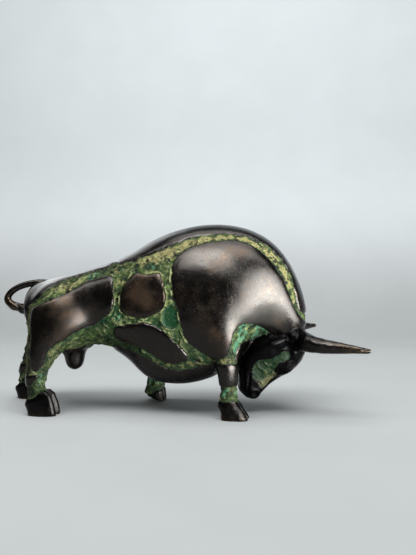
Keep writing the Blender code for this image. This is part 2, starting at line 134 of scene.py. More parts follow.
NEAR_SHOULDER_BACK = (
    (49.5, 66.5), (46.5, 62.5), (45, 57.5), (43.5, 52), (41, 46.5), (37, 43.5), (31, 43.5), (21, 49),
    (12, 57), (8, 68), (6, 78), (2, 88), (0.5, 104),
)
FAR_SHOULDER_BACK = (
    (44, 56), (31, 46), (20, 42.5), (6, 43.5), (1, 52), (3, 66), (4, 78), (2, 88), (0.5, 104),
)
NEAR_SIDE_SHIELD = (
    (-44.5, 64), (-34, 67), (-22.5, 69), (-12, 67), (-1.5, 60), (8.5, 49.5), (11.5, 42),
    (-2, 38.5), (-8, 41), (-18, 48), (-30, 52.5), (-44, 55),
)
FAR_SIDE_SHIELD = (
    (-44.5, 64), (-34, 67), (-22.5, 69), (-12, 67), (-4.5, 58), (-8, 48), (-18, 48), (-30, 52.5),
    (-44, 55),
)
SHIN_SHIELD = (24, 40)
SEAT_START = -104
SEAT_SHIELD = ((0, 95), (13, 88), (15, 74), (11, 60), (0, 53), (-11, 60), (-15, 74), (-13, 88))
CHEEK_PATCH = (
    (37.7, -14.4), (32.2, -15), (28.3, -12.5), (23.8, -8.9), (19, -7.2), (14.3, -5.9), (12.1, -2.7),
    (13.8, 0.1), (18.1, 0.7), (22.1, -2), (25.3, -2.5), (29.4, -1), (31, 3), (35.6, 3.2), (41.7, 3),
    (45.9, 1.5), (44.3, -3.3), (43.6, -7.7), (41.3, -11),
)

SHIELDS_OF_BOTH_SIDES = (CREST_SHIELD, RUMP_SHIELD, FLANK_SHIELD, BELLY_SHIELD, THROAT_SHIELD)

# Shins and scrotum have their own rule. Where each is: x from and to, how far out it starts, its top
NEAR_SHIN_PLACE = (28, 56, 20, 42)
FAR_SHIN_PLACE = (-45, 18, 20, 42)
BAG_PLACE = (-97, -72, -11, 50)

# The far hind leg stands further back: by so much at each of these heights
FAR_HIND_HEIGHTS = (25, 36, 47, 61, 76, 88)
FAR_HIND_SHIFTS = (-33, -30.3, -25.6, -17, -9, -4)
FAR_HIND_FADE = (62, 92)

# Hoops of the trunk, rump to neck: crest x and z, keel x and z, half width, share of the height of its belt
TRUNK_HOOPS = (
    (-123, 92, -121, 74, 10, 0.50),
    (-117, 97.5, -119, 58, 22, 0.52),
    (-103, 101.5, -108, 46, 29, 0.55),
    (-82, 106.5, -85, 43.5, 31, 0.56),
    (-60, 112.5, -62, 48.5, 29, 0.52),
    (-39, 120.5, -42, 40, 31, 0.48),
    (-18, 132, -24, 24, 35.5, 0.44),
    (2, 139.5, -4, 19.5, 38.5, 0.42),
    (22, 142.7, 15, 21.5, 40.5, 0.42),
    (42, 141.8, 32, 28, 41, 0.44),
    (59, 136.8, 45, 37, 39, 0.46),
    (73, 128, 53, 46, 35.5, 0.48),
    (84, 115, 57, 53, 31.5, 0.50),
    (91.5, 100, 60, 56, 27, 0.50),
    (96.5, 84, 63, 56, 22.5, 0.50),
    (98.3, 71, 68, 53.5, 18.5, 0.50),
    (98.5, 64, 74, 50, 14.5, 0.50),
)

# Hoops of the head: way along the axis, face, jaw, half width
HEAD_HOOPS = (
    (-9, -3, -16, 10.0),
    (-6, 4.5, -19, 15.5),
    (1, 10, -22, 18.5),
    (11, 14, -25, 18.5),
    (22, 13.0, -26.5, 17.0),
    (31, 9.5, -25.5, 14.0),
    (39, 7.0, -23.5, 11.5),
    (47, 6.3, -18, 11.0),
    (53, 6.0, -12, 10.5),
    (56.5, 4.0, -9, 8.0),
    (58.3, 0, -5.5, 4.5),
)

# Limbs: x, y, z of the bone line, then half depth (fore and aft) and half width (across)
NEAR_FORELEG = (
    (24, -14, 104, 20, 13),
    (28, -20, 88, 27, 18),
    (33, -26, 70, 23, 16),
    (38.5, -29, 55, 14.5, 12.5),
    (40.2, -30, 43, 9.6, 10),
    (40.8, -31, 32, 8.2, 8.6),
    (41.3, -31, 23, 7.6, 8.0),
    (41.6, -31, 15, 8.3, 8.4),
    (42.5, -31, 8, 7.0, 7.6),
)
FAR_FORELEG = (
    (28, 14, 100, 20, 13),
    (30, 20, 84, 27, 18),
    (27, 26, 66, 21, 15),
    (17, 29, 50, 13.5, 12),
    (4, 31, 37, 9.6, 10),
    (-12, 31.5, 28, 8.4, 8.6),
    (-22, 31.5, 21, 8.0, 8.2),
    (-25.5, 31.5, 14, 8.2, 8.4),
    (-26, 31.5, 9, 7.6, 7.8),
)
NEAR_HIND_LEG = (
    (-78, -9, 90, 14, 8),
    (-82, -15, 84, 24, 14.5),
    (-88, -22, 74, 25.5, 16),
    (-95, -26, 60, 19.5, 14.5),
    (-100.5, -29, 46, 13.5, 12),
    (-103, -31, 34, 10.4, 10),
    (-104.4, -31, 24, 8.4, 8.6),
    (-104.6, -31, 16, 8.6, 8.6),
    (-103, -31, 8, 8.0, 7.8),
)
FAR_HIND_LEG = (
    (-80, 9, 90, 14, 8),
    (-86, 15, 85, 24, 14.5),
    (-97, 22, 76, 25, 16),
    (-112, 27, 61, 18.5, 14.5),
    (-126, 30, 47, 12.6, 12),
    (-133, 31, 36, 10.2, 10),
    (-137.5, 31, 25, 8.4, 8.6),
    (-139.5, 31, 16, 8.6, 8.6),
    (-138, 31, 8, 8.0, 7.8),
)
SCROTUM = (
    (-83, 0, 54, 8.0, 8.5),
    (-84, 0, 46, 7.6, 8.5),
    (-84.8, 0, 39, 8.4, 9),
    (-85, 0, 33.5, 7.8, 8.5),
    (-85, 0, 29.6, 4.8, 5.5),
    (-85, 0, 28.2, 1.5, 2),
)

# A claw, sole to coronet: share of the height, heel and toe as shares of the length, share of the width
FORE_CLAW = (
    (-SOLE_SINK / HOOF_HEIGHT, -0.46, 0.52, 1.0),
    (0.08, -0.47, 0.51, 1.02),
    (0.40, -0.47, 0.39, 0.99),
    (0.75, -0.57, 0.23, 0.90),
    (1.0, -0.56, 0.10, 0.76),
)
HIND_CLAW = (
    (-SOLE_SINK / HOOF_HEIGHT, -0.46, 0.52, 1.0),
    (0.10, -0.47, 0.52, 1.02),
    (0.50, -0.50, 0.46, 1.00),
    (0.95, -0.57, 0.34, 0.90),
    (1.25, -0.55, 0.16, 0.72),
)

# Hooves: middle of the sole as x and y, length, claw, pitch of the sole, its lift, rise of the coronet
HOOVES = (
    (45.3, -31, FORE_HOOF_LENGTH, FORE_CLAW, 0, 0, 0.05),
    (-28.0, 31.5, FORE_HOOF_LENGTH, FORE_CLAW, 23, 4.6, 0),
    (-99.0, -31, HIND_HOOF_LENGTH, HIND_CLAW, 0, 0, 0.42),
    (-135.0, 31, HIND_HOOF_LENGTH, HIND_CLAW, 0, 0, 0.42),
)

# Horn: in the head's own frame, along the axis, out of the face, outwards, radius
HORN = (
    (2.7, -7, 10, 9.3),
    (0.2, -1.5, 21, 7.6),
    (-3.8, 5, 31, 5.9),
    (-9.6, 12.3, 39.5, 4.6),
    (-16.4, 20.7, 46.5, 3.2),
    (-23.2, 30.0, 52.5, 1.5),
)

# Ear, in the same frame: along, out, outwards, half width, half thickness
EAR = (
    (6, -6, 13, 3.6, 2.8),
    (8.5, -9.5, 17, 4.8, 3.0),
    (11.5, -13.5, 19.5, 5.2, 2.8),
    (14.5, -17, 20.5, 3.8, 2.2),
    (16.5, -19.5, 20.5, 1.4, 1.2),
)

# Brow over each eye, in the same frame: its middle, and half its length, depth and width
BROW_PLACE = (20.5, 5.5, 11.5)
BROW_RADII = (8.5, 5.0, 6.5)

# Tail: x, y, z and radius as a share between plain and tuft
TAIL = (
    (-98, 2, 95, 0.3),
    (-106, 0, 98, 0.1),
    (-116, -2, 98.6, 0.0),
    (-127, -4, 96.2, 0.0),
    (-135, -5, 91.8, 0.0),
    (-138.6, -5, 86.2, 0.1),
    (-135.5, -5, 81.4, 0.3),
    (-129, -4, 78.8, 0.6),
    (-121, -3, 76.5, 1.0),
    (-113, -2, 73, 1.0),
)

# Where each colour of patina gathers, seen from the side: x, z, reach in x, reach in z, strength
OCHRE_PLACES = (
    (-24, 118, 14, 5, 0.7), (-8, 122, 14, 7, 0.8), (12, 128, 16, 7, 1.0), (34, 132, 18, 7, 1.0),
    (54, 128, 16, 8, 1.0), (70, 115, 11, 10, 1.0), (80, 100, 8, 12, 0.8), (87, 84, 7, 9, 0.6),
    (-80, 97, 22, 6, 0.5), (-42, 108, 9, 9, 0.4), (-112, 56, 5, 32, 0.9), (-8, 62, 12, 6, 0.35),
    (5, 38, 26, 5, 0.6), (41, 42, 7, 4, 0.9), (41, 22, 9, 3, 0.5), (-92, 46, 8, 9, 0.45),
)
TEAL_PLACES = (
    (-40, 112, 3, 3, 0.7), (-16, 112, 6, 3, 0.6), (0, 108, 4, 5, 0.4), (62, 62, 15, 8, 0.7),
    (49, 56, 7, 12, 0.9), (-40, 73, 5, 4, 0.6), (40, 19, 12, 3.5, 1.0), (-97, 26, 7, 8, 0.5),
    (-64, 105, 9, 3, 0.6), (-26, 18, 10, 5, 0.9), (-85, 48, 10, 10, 0.25),
)
DEEP_PLACES = (
    (0, 70, 10, 14, 0.7), (-44, 74, 9, 9, 0.9), (-70, 66, 24, 10, 0.45), (22, 42, 20, 9, 0.6),
    (-100, 36, 9, 12, 0.5), (10, 36, 24, 5, 0.4), (30, 50, 10, 8, 0.5), (-25, 46, 20, 7, 0.7),
    (-44, 60, 8, 10, 0.6), (-28, 26, 14, 8, 0.5), (-19, 71, 12, 4, 0.6), (-12, 64, 12, 6, 0.5),
)
UMBER_PLACES = (
    (-82, 74, 18, 20, 0.6), (-22, 90, 18, 16, 1.0), (22, 88, 20, 20, 0.45), (32, 60, 8, 14, 0.6),
    (77, 70, 7, 6, 0.5), (46, 118, 10, 8, 0.4), (5, 55, 5, 5, 0.3),
)
BEAD_PLACES = (
    (-42, 92, 10, 22, 1.0), (-18, 107, 22, 8, 1.0), (1, 98, 9, 26, 1.0), (6, 72, 9, 16, 1.0),
    (-22, 70, 26, 6, 1.0), (4, 56, 18, 14, 0.9), (-62, 103, 16, 5, 0.7), (-70, 64, 24, 8, 0.4),
    (-110, 80, 6, 10, 0.8), (60, 66, 22, 8, 0.5), (-106, 44, 6, 20, 0.5), (41, 43, 10, 5, 0.7),
    (-105, 31, 8, 4, 0.8),
)

# A smooth pocket in the ground behind each shoulder: x and z, and reach both ways. Its edge, slope and rim
# width are shares of that reach.
POCKET = (0.2, 73.5)
POCKET_REACH = (6.4, 8.2)
POCKET_EDGE = 1.15
POCKET_SLOPE = 0.45
POCKET_DEPTH = 0.9
POCKET_RIM = 0.7
POCKET_RIM_WIDTH = 0.13

# The edge of a shield: half the width of its step, and how far its rounding drops and fades
EDGE = 0.45
PILLOW = (0.75, 1.6)

# Its outline wanders by so much, in lumps of such a size
EDGE_WANDER = ((0.75, 8), (0.45, 3))

# Beads run along the shields: how far out, and half their width
BEAD_LINE = (1.1, 0.65)

# Relief of the ground: height and size of its lumps, height and spacing of its veins and of its pits
GROUND_LUMPS = ((0.9, 6), (0.55, 2.6))
GROUND_VEINS = (1.0, 7)
GROUND_PITS = (1.5, 5.5)

# Long swells that polishing leaves in the shields: height and size
SWELLS = ((0.12, 14), (0.05, 5))

# The crust of the drawn-back forefoot ends along a slanting line: through x and z, and its slope
FOOT_EDGE = (-28, 6.5)
FOOT_EDGE_SLOPE = 0.42

# Where the polished shields are porous
PORE_PLACES = (
    (58, 72, 15, 7, 1.0), (74, 76, 10, 10, 0.9), (50, 76, 8, 8, 0.6), (20, 80, 8, 6, 0.35),
    (44, 108, 14, 8, 0.25), (58, 98, 14, 14, 0.3),
)

# Where the polish is satin rather than bright
SATIN_PLACES = ((-74, 73, 15, 11, 1.0),)

# On each side of the head, along and out: the eye, its reach both ways, the crease round it and its lid
EYE = (22.5, 5.0)
EYE_REACH = (8.2, 3.9)
EYE_CREASE = 0.9
LID_HEIGHT = 0.8
LID_DEPTH = 0.5

# Lines on each side of the face: a ridge from horn to eye, the crease behind it, and the mouth. Each has
# its points, its half width and its height.
FACE_LINES = (
    (((-4, -3.5), (4, -2), (10, 1.0), (15, 4.5)), 2.0, 1.0),
    (((-4, -9), (4, -7.5), (9, -4.5), (13, -1)), 1.5, -1.0),
    (((58, -3), (51, -7), (44, -12)), 0.9, -0.8),
)

# Nostril: its place, its reach, depth, and the raised rim's distance, width and height
NOSTRIL = (52.5, 1.0)
NOSTRIL_SIZE = (2.2, 1.5)
NOSTRIL_RIM = (3.4, 1.0, 0.5)

# Depth of the hammering on the head, the ribs of the horns, the folds of the hooves and the tail's twist
HAMMERING = 0.28
HORN_RIBS = 0.1
HOOF_FOLDS = 0.3
TAIL_TWIST = 0.35

# Where hands rub: how far out along a horn, how far back along the tail, and above the ground on a hoof
HORN_TIP = (40, 56)
HORN_ROOT = (26, 40)
TAIL_BEND = (126, 139)
HOOF_EDGE = (0.6, 2.2)

# Camera, in millimetres of the tables' frame, and its turns
CAMERA_PLACE = (94.3, -501.6, 106.0)
CAMERA_AZIMUTH = math.radians(8.0)
CAMERA_PITCH = math.radians(-0.5)
CAMERA_ROLL = 0.008

# Panels of light: place, what they face, width and height, and the whole angle of their beam in degrees
MIDDLE = (0, 0, 70)
ROOM_PANELS = {
    "sky": ((0, -200, 1100), MIDDLE, (1100, 1000), 180),
    "wall": ((0, -450, 1150), (0, 1100, 120), (2400, 500), 180),
}
BULL_PANELS = {
    "key": ((-10, -205, 300), (45, -40, 115), (170, 110), 45),
    "window": ((240, -165, 50), (70, -30, 70), (360, 420), 90),
    "back": ((-540, 450, 450), MIDDLE, (600, 700), 180),
    "lamp": ((222, -186, 85), (62, -40, 90), (30, 20), 30),
}
DAYLIGHT = (0.97, 0.99, 1.0)
LAMPLIGHT = (1.0, 0.90, 0.74)

# Floor and wall, in lengths of the bull: how far behind it, how high and how wide, and how high the bend's
# paint has turned into the wall's. The bend's radius is a share of the depth.
SWEEP_DEPTH = 3.2
SWEEP_HEIGHT = 6
SWEEP_WIDTH = 16
PAINT_HEIGHT = 0.9
BEND_SHARE = 0.45
BEND_STEPS = 24

# Well inside a shield, and far from everything
SHIELDED = -3.0
FAR_AWAY = 50.0

# Beyond this distance from an outline, how far it is doesn't matter
OUTLINE_REACH = 12.0


def place_of(tone_places, points):
    """How strongly a tone gathers at each point."""
    total = np.zeros(len(points))
    for x, z, reach_x, reach_z, amount in tone_places:
        away = ((points[:, 0] - x) / reach_x) ** 2 + ((points[:, 2] - z) / reach_z) ** 2
        total += amount * np.exp(-away)
    return np.clip(total, 0, 1)


def bent(a, b, c, d, t):
    """A point t of the way from b to c, on the smooth curve that also runs through a and d."""
    return b + 0.5 * t * (c - a + t * (2 * a - 5 * b + 4 * c - d + t * (3 * (b - c) + d - a)))


def smooth_rows(rows, steps=SPLINE_STEPS):
    """A smooth curve through the rows of a table, so that a few hoops make a smooth form."""
    rows = np.array(rows, float)
    ends = np.vstack([2 * rows[0] - rows[1], rows, 2 * rows[-1] - rows[-2]])
    out = []
    for i in range(1, len(ends) - 2):
        a, b, c, d = ends[i - 1 : i + 3]
        out += [bent(a, b, c, d, t) for t in np.arange(steps) / steps]
    out.append(rows[-1])
    return out


def power_circle(count, power):
    """Points round a rounded square: power 2 is a circle, more is squarer."""
    turns = np.arange(count) / count * 2 * math.pi
    c, s = np.cos(turns), np.sin(turns)
    return np.sign(c) * np.abs(c) ** (2 / power), np.sign(s) * np.abs(s) ** (2 / power)


def object_of(work, name):
    """A new object that holds the finished bmesh."""
    mesh = bpy.data.meshes.new(name)
    work.to_mesh(mesh)
    work.free()
    made = bpy.data.objects.new(name, mesh)
    bpy.context.scene.collection.objects.link(made)
    return made


def shell(name, rings):
    """A closed mesh through rings of points, with a point at each end."""
    work = bmesh.new()
    layers = [[work.verts.new(Vector(p)) for p in ring] for ring in rings]
    count = len(layers[0])
    for low, high in zip(layers, layers[1:]):
        for i in range(count):
            j = (i + 1) % count
            work.faces.new((low[i], low[j], high[j], high[i]))
    for layer in (layers[0], layers[-1]):
        pole = work.verts.new(sum((v.co for v in layer), Vector()) / count)
        for i in range(count):
            work.faces.new((layer[i], layer[(i + 1) % count], pole))
    bmesh.ops.recalc_face_normals(work, faces=work.faces)
    return object_of(work, name)


def trunk():
    """Barrel, hump and neck as hoops that stand between crest and keel."""
    side, height = power_circle(RING_POINTS, TRUNK_SQUARENESS)
    rings = []
    for cx, cz, kx, kz, half_width, widest in smooth_rows(TRUNK_HOOPS):
        crest, keel = np.array((cx, 0, cz)), np.array((kx, 0, kz))
        belt = keel + (crest - keel) * widest
        rings.append(
            [
                belt + (crest - belt if h > 0 else belt - keel) * h + np.array((0, half_width * s, 0))
                for s, h in zip(side, height)
            ]
        )
    return shell("trunk", rings)


def limb(name, rows):
    """A leg as round sections, each square to the bone line at its place."""
    rows = smooth_rows(rows)
    along = np.gradient(np.array([r[:3] for r in rows]), axis=0)
    across, fore = power_circle(RING_POINTS // 2, LEG_SQUARENESS)
    rings = []
    for (x, y, z, depth, width), way in zip(rows, along):
        way = way / np.linalg.norm(way)
        forward = np.cross((0, 1, 0), way)
        forward /= np.linalg.norm(forward)
        outward = np.cross(way, forward)
        middle = np.array((x, y, z))
        rings.append([middle + forward * depth * f + outward * width * a for a, f in zip(across, fore)])
    return shell(name, rings)


def head_frame():
    """Rows: along the axis to the muzzle, out of the face, across to the bull's left."""
    turn = Matrix.Rotation(HEAD_YAW, 3, "Z") @ Matrix.Rotation(HEAD_ROLL, 3, "X")
    along = turn @ Vector((-math.sin(HEAD_TILT), 0, -math.cos(HEAD_TILT)))
    face = turn @ Vector((math.cos(HEAD_TILT), 0, -math.sin(HEAD_TILT)))
    return np.array((along, face, turn @ Vector((0, 1, 0))))


def on_head(along, out, side):
    """A point of the head's own frame, in the bull's."""
    return np.array(HEAD_POLL) + np.array((along, out, side)) @ head_frame()


def head():
    side, out = power_circle(RING_POINTS, HEAD_SQUARENESS)
    rings = []
    for s, face, jaw, half_width in smooth_rows(HEAD_HOOPS):
        rings.append(
            [on_head(s, (face if o > 0 else -jaw) * o, half_width * a) for a, o in zip(side, out)]
        )
    return shell("head", rings)


def brow(way):
    """The ridge over an eye."""
    work = bmesh.new()
    bmesh.ops.create_uvsphere(work, u_segments=24, v_segments=16, radius=1.0)
    turn = Matrix(head_frame().tolist()).transposed()
    along, out, side = BROW_PLACE
    middle = Vector(on_head(along, out, way * side))
    for v in work.verts:
        v.co = turn @ Vector(c * r for c, r in zip(v.co, BROW_RADII)) + middle
    return object_of(work, "brow")


def ear(way):
    """A drooping leaf behind the horn."""
    long, flat = power_circle(16, 2.0)
    rings = []
    for s, out, side, width, thickness in smooth_rows(EAR):
        rings.append(
            [on_head(s + width * u, out, way * (side + thickness * v)) for u, v in zip(long, flat)]
        )
    return shell("ear", rings)


def tube(name, rows):
    """A round tapering rod along points, each with its radius."""
    rows = smooth_rows(rows)
    along = np.gradient(np.array([r[:3] for r in rows]), axis=0)
    turns = np.arange(16) / 16 * 2 * math.pi
    across = np.array((0.0, 1.0, 0.0))
    rings = []
    for row, way in zip(rows, along):
        way = way / np.linalg.norm(way)
        across = across - way * across.dot(way)
        across /= np.linalg.norm(across)
        third = np.cross(way, across)
        rings.append([row[:3] + row[3] * (across * math.cos(t) + third * math.sin(t)) for t in turns])
    return shell(name, rings)


def horn(way):
    return tube("horn", [(*on_head(s, out, way * side), radius) for s, out, side, radius in HORN])


def tail():
    rows = [(x, y, z, TAIL_RADIUS + (TAIL_TUFT_RADIUS - TAIL_RADIUS) * t) for x, y, z, t in TAIL]
    return tube("tail", rows)


def hoof(x, y, length, claw, pitch, lift, rise):
    """Two claws side by side, their toes a little apart, with the heel hollowed under the pastern."""
    tilt = Matrix.Rotation(math.radians(pitch), 3, "Y")
    claw_width = HOOF_WIDTH / 4
    side, fore = power_circle(20, CLAW_SQUARENESS)
    made = []
    for way in (-1, 1):
        rings = []
        for level, heel, toe, spread in claw:
            middle, half = (heel + toe) / 2 * length, (toe - heel) / 2 * length
            ring = []
            for a, f in zip(side, fore):
                reach = middle + half * f
                out = way * (claw_width * (1 + a * spread) + CLEFT_SPREAD * max(reach, 0) - CLAW_OVERLAP)
                up = level * HOOF_HEIGHT + rise * max(level, 0) * reach
                ring.append(tilt @ Vector((reach, out, up)) + Vector((x, y, lift)))
            rings.append(ring)
        made.append(shell("claw", rings))
    return made


def smooth_loop(outline):
    """A closed outline, rounded through its points."""
    loop = np.array(outline, float)
    count = len(loop)
    out = []
    for i in range(count):
        a, b, c, d = (loop[(i + k) % count] for k in (-1, 0, 1, 2))
        out += [bent(a, b, c, d, t) for t in (0.0, 0.25, 0.5, 0.75)]
    return np.array(out)


def beyond(places, outline):
    """How far each place lies outside an outline, less than nothing when it is inside."""
    loop = smooth_loop(outline)
    low, high = loop.min(axis=0) - OUTLINE_REACH, loop.max(axis=0) + OUTLINE_REACH
    near = np.all((places > low) & (places < high), axis=1)
    x, y = places[near].T
    nearest = np.full(len(x), np.inf)
    inside = np.zeros(len(x), bool)
    for (x0, y0), (x1, y1) in zip(loop, np.roll(loop, -1, axis=0)):
        run, rise = x1 - x0, y1 - y0
        share = np.clip(((x - x0) * run + (y - y0) * rise) / (run * run + rise * rise), 0, 1)
        nearest = np.minimum(nearest, (x - x0 - share * run) ** 2 + (y - y0 - share * rise) ** 2)
        if rise:
            inside ^= ((y0 > y) != (y1 > y)) & (x < x0 + run * (y - y0) / rise)
    out = np.full(len(places), OUTLINE_REACH)
    out[near] = np.where(inside, -1, 1) * np.sqrt(nearest)
    return out


def ramp(values, low, high):
    share = np.clip((values - low) / (high - low), 0, 1)
    return share * share * (3 - 2 * share)


def within(place, x, out, z):
    """Whether each point is in this place."""
    start, end, side, top = place
    return (x > start) & (x < end) & (out > side) & (z < top)


def beyond_shields(points):
    """How far each point of the body is from the nearest shield, in millimetres."""
    x, y, z = points.T
    from_side = points[:, (0, 2)]
    hind = ramp(-x, *FAR_HIND_FADE) * np.interp(z, FAR_HIND_HEIGHTS, FAR_HIND_SHIFTS)
    from_far_side = np.stack((x - hind, z), axis=1)
    both = [beyond(from_side, outline) for outline in SHIELDS_OF_BOTH_SIDES]
    near = [beyond(from_side, o) for o in (THIGH_SHIELD, HOCK_SHIELD, NECK_FRONT + NEAR_SHOULDER_BACK)]
    near.append(beyond(from_side, NEAR_SIDE_SHIELD))
    far = [beyond(from_far_side, outline) for outline in (THIGH_SHIELD, HOCK_SHIELD)]
    far += [beyond(from_side, o) for o in (NECK_FRONT + FAR_SHOULDER_BACK, FAR_SIDE_SHIELD)]
    gap = np.where(y < 0, np.min(near, axis=0), np.min(far, axis=0))
    gap = np.minimum(gap, np.min(both, axis=0))
    seat = beyond(points[:, (1, 2)], SEAT_SHIELD)
    gap = np.where(x < SEAT_START, np.minimum(gap, seat), gap)
    shin = np.abs(z - sum(SHIN_SHIELD) / 2) - (SHIN_SHIELD[1] - SHIN_SHIELD[0]) / 2
    near_shin, far_shin = within(NEAR_SHIN_PLACE, x, -y, z), within(FAR_SHIN_PLACE, x, y, z)
    bag = within(BAG_PLACE, x, -np.abs(y), z)
    return np.where(near_shin | far_shin, shin, np.where(bag, -FAR_AWAY, gap))


def joined(objects, name):
    """One object that holds all these shells."""
    work = bmesh.new()
    for obj in objects:
        work.from_mesh(obj.data)
        bpy.data.objects.remove(obj, do_unlink=True)
    return object_of(work, name)


def applied(obj):
    """Its modifiers become its mesh."""
    graph = bpy.context.evaluated_depsgraph_get()
    mesh = bpy.data.meshes.new_from_object(obj.evaluated_get(graph))
    obj.modifiers.clear()
    obj.data = mesh
    return obj


def fused(obj, voxel, smoothing):
    """The shells of obj as one skin, its joins softened."""
    remesh = obj.modifiers.new("fuse", "REMESH")
    remesh.mode = "VOXEL"
    remesh.voxel_size = voxel
    soften = obj.modifiers.new("soften", "SMOOTH")
    soften.factor = 0.5
    soften.iterations = smoothing
    return applied(obj)


def tree_of(obj):
    """A search tree of its surface, with the box that it fills."""
    points = points_of(obj)
    faces = [tuple(p.vertices) for p in obj.data.polygons]
    return BVHTree.FromPolygons(points.tolist(), faces), points.min(axis=0), points.max(axis=0)


def rows_of(things, name):
    """The x, y and z that each of these things holds under a name."""
    flat = np.empty(len(things) * 3, np.float32)
    things.foreach_get(name, flat)
    return flat.reshape(-1, 3).astype(float)


def points_of(obj):
    return rows_of(obj.data.vertices, "co")


def lumps(points, size, seed=0):
    """Smooth noise from -1 to 1, with lumps of about this size."""
    shift = np.array((17.3, 5.1, 9.7)) * seed
    return np.array([noise.noise(p) for p in (points / size + shift).tolist()])


def creases(points, size, seed=0):
    """Sharp winding ridges from 0 to 1, about this far apart."""
    return (1 - np.abs(lumps(points, size, seed)) * 3).clip(0, 1)


def cells(points, size, seed=0):
    """How far each point is from the middle of its cell, as a share of the cells' size."""
    shift = np.array((3.7, 11.9, 6.1)) * seed
    return np.array([noise.voronoi(p)[0][0] for p in (points / size + shift).tolist()])


class Bull:
    """The bull in wax: its groups of parts, and the measures that carving and patina share."""

    GROUPS = ("flesh", "head", "brow", "horn", "ear", "tail", "hoof")

    def __init__(self, voxel):
        legs = [
            limb("near_foreleg", NEAR_FORELEG),
            limb("far_foreleg", FAR_FORELEG),
            limb("near_hind_leg", NEAR_HIND_LEG),
            limb("far_hind_leg", FAR_HIND_LEG),
            limb("scrotum", SCROTUM),
        ]
        flesh = joined([trunk(), *legs], "flesh")
        groups = {
            "flesh": [fused(flesh, FLESH_VOXEL, FLESH_SMOOTHING)],
            "head": [head()],
            "brow": [brow(way) for way in (-1, 1)],
            "horn": [horn(way) for way in (-1, 1)],
            "ear": [ear(way) for way in (-1, 1)],
            "tail": [tail()],
            "hoof": [claw for foot in HOOVES for claw in hoof(*foot)],
        }
        groups = {name: joined(objects, name) for name, objects in groups.items()}
        trees = [tree_of(groups[name]) for name in self.GROUPS]
        self.skin = fused(joined(groups.values(), "bull"), voxel, SKIN_SMOOTHING)
        self.points = points_of(self.skin)
        self.normals = rows_of(self.skin.data.vertex_normals, "vector")
        self.local = (self.points - np.array(HEAD_POLL)) @ head_frame().T
        self.measure_parts(trees)

    def measure_parts(self, trees):
        """Which group each point belongs to, and how far the next group is."""
        reach = np.full((len(trees), len(self.points)), FAR_AWAY)
        for row, (tree, low, high) in enumerate(trees):
            near = np.all((self.points > low - 3) & (self.points < high + 3), axis=1)
            for i in np.flatnonzero(near):
                reach[row, i] = tree.find_nearest(self.points[i])[3]
        self.group = reach.argmin(axis=0)
        others = np.sort(reach, axis=0)[1]
        self.clear = ramp(others, 0.4, 2.0)

    def part(self, name):
        return self.group == self.GROUPS.index(name)


def gap_of(bull):
    """How far inside the rough ground each point lies, less than nothing on the shields."""
    points, local = bull.points, bull.local
    x, y, z = points.T
    (wide, wide_size), (narrow, narrow_size) = EDGE_WANDER
    wander = wide * lumps(points, wide_size) + narrow * lumps(points, narrow_size, 1)
    cheek = -beyond(local[:, :2], CHEEK_PATCH) + 0.5 * lumps(points, 4, 2)
    cheek = np.where(np.abs(local[:, 2]) > 6, cheek, SHIELDED)
    drawn_back = bull.part("hoof") & (y > 15) & (x > -50)
    above_edge = z - FOOT_EDGE_SLOPE * (x - FOOT_EDGE[0]) - FOOT_EDGE[1] + lumps(points, 4, 16)
    gap = np.where(drawn_back, above_edge, SHIELDED)
    gap = np.where(bull.part("head"), cheek, gap)
    gap = np.where(bull.part("flesh"), beyond_shields(points) + wander, gap)
    return np.clip(gap, -FAR_AWAY, FAR_AWAY)


def relief_of(bull, casting):
    """How high beads, wrinkles and pits stand in the ground. Keeps what the patina follows on the bull."""
    points, on_flesh = bull.points, bull.part("flesh")
    x, y, z = points.T
    beading = place_of(BEAD_PLACES, points) * ramp(lumps(points, 6, 3), -0.3, 0.1) * on_flesh
    bead = np.exp(-(((bull.gap - BEAD_LINE[0]) / BEAD_LINE[1]) ** 2)) * beading
    veins = creases(points, GROUND_VEINS[1], 4) ** 2 * ramp(bull.gap, 1.0, 2.2)
    veins = veins * ramp(lumps(points, 11, 5), -0.35, 0.05)
    (large, large_size), (small, small_size) = GROUND_LUMPS
    rough = large * lumps(points, large_size, 6) + small * lumps(points, small_size, 7)
    pits = ramp(0.36 - cells(points, GROUND_PITS[1], 1), 0, 0.2) * ramp(lumps(points, 14, 8), -0.1, 0.3)
    relief = rough + GROUND_VEINS[0] * veins - GROUND_PITS[0] * pits
    from_pocket = np.hypot((x - POCKET[0]) / POCKET_REACH[0], (z - POCKET[1]) / POCKET_REACH[1])
    from_pocket += 0.12 * lumps(points, 5, 17)
    pocket = ramp(POCKET_EDGE - from_pocket, 0, POCKET_SLOPE) * on_flesh
    rim = np.exp(-(((from_pocket - POCKET_EDGE) / POCKET_RIM_WIDTH) ** 2)) * on_flesh
    relief = relief * (1 - 0.85 * pocket)
    bull.pocket = pocket
    bull.relief = relief * 0.5 + 0.5
    bull.pits = pits * ramp(bull.gap, -EDGE, EDGE) * (1 - pocket)
    bull.bead = np.maximum(np.maximum(bead, 0.45 * veins), 0.3 * rim)
    raised = (casting.roughness * relief + casting.bead_height * bead) / UNIT
    return raised + (POCKET_RIM * rim - POCKET_DEPTH * pocket)


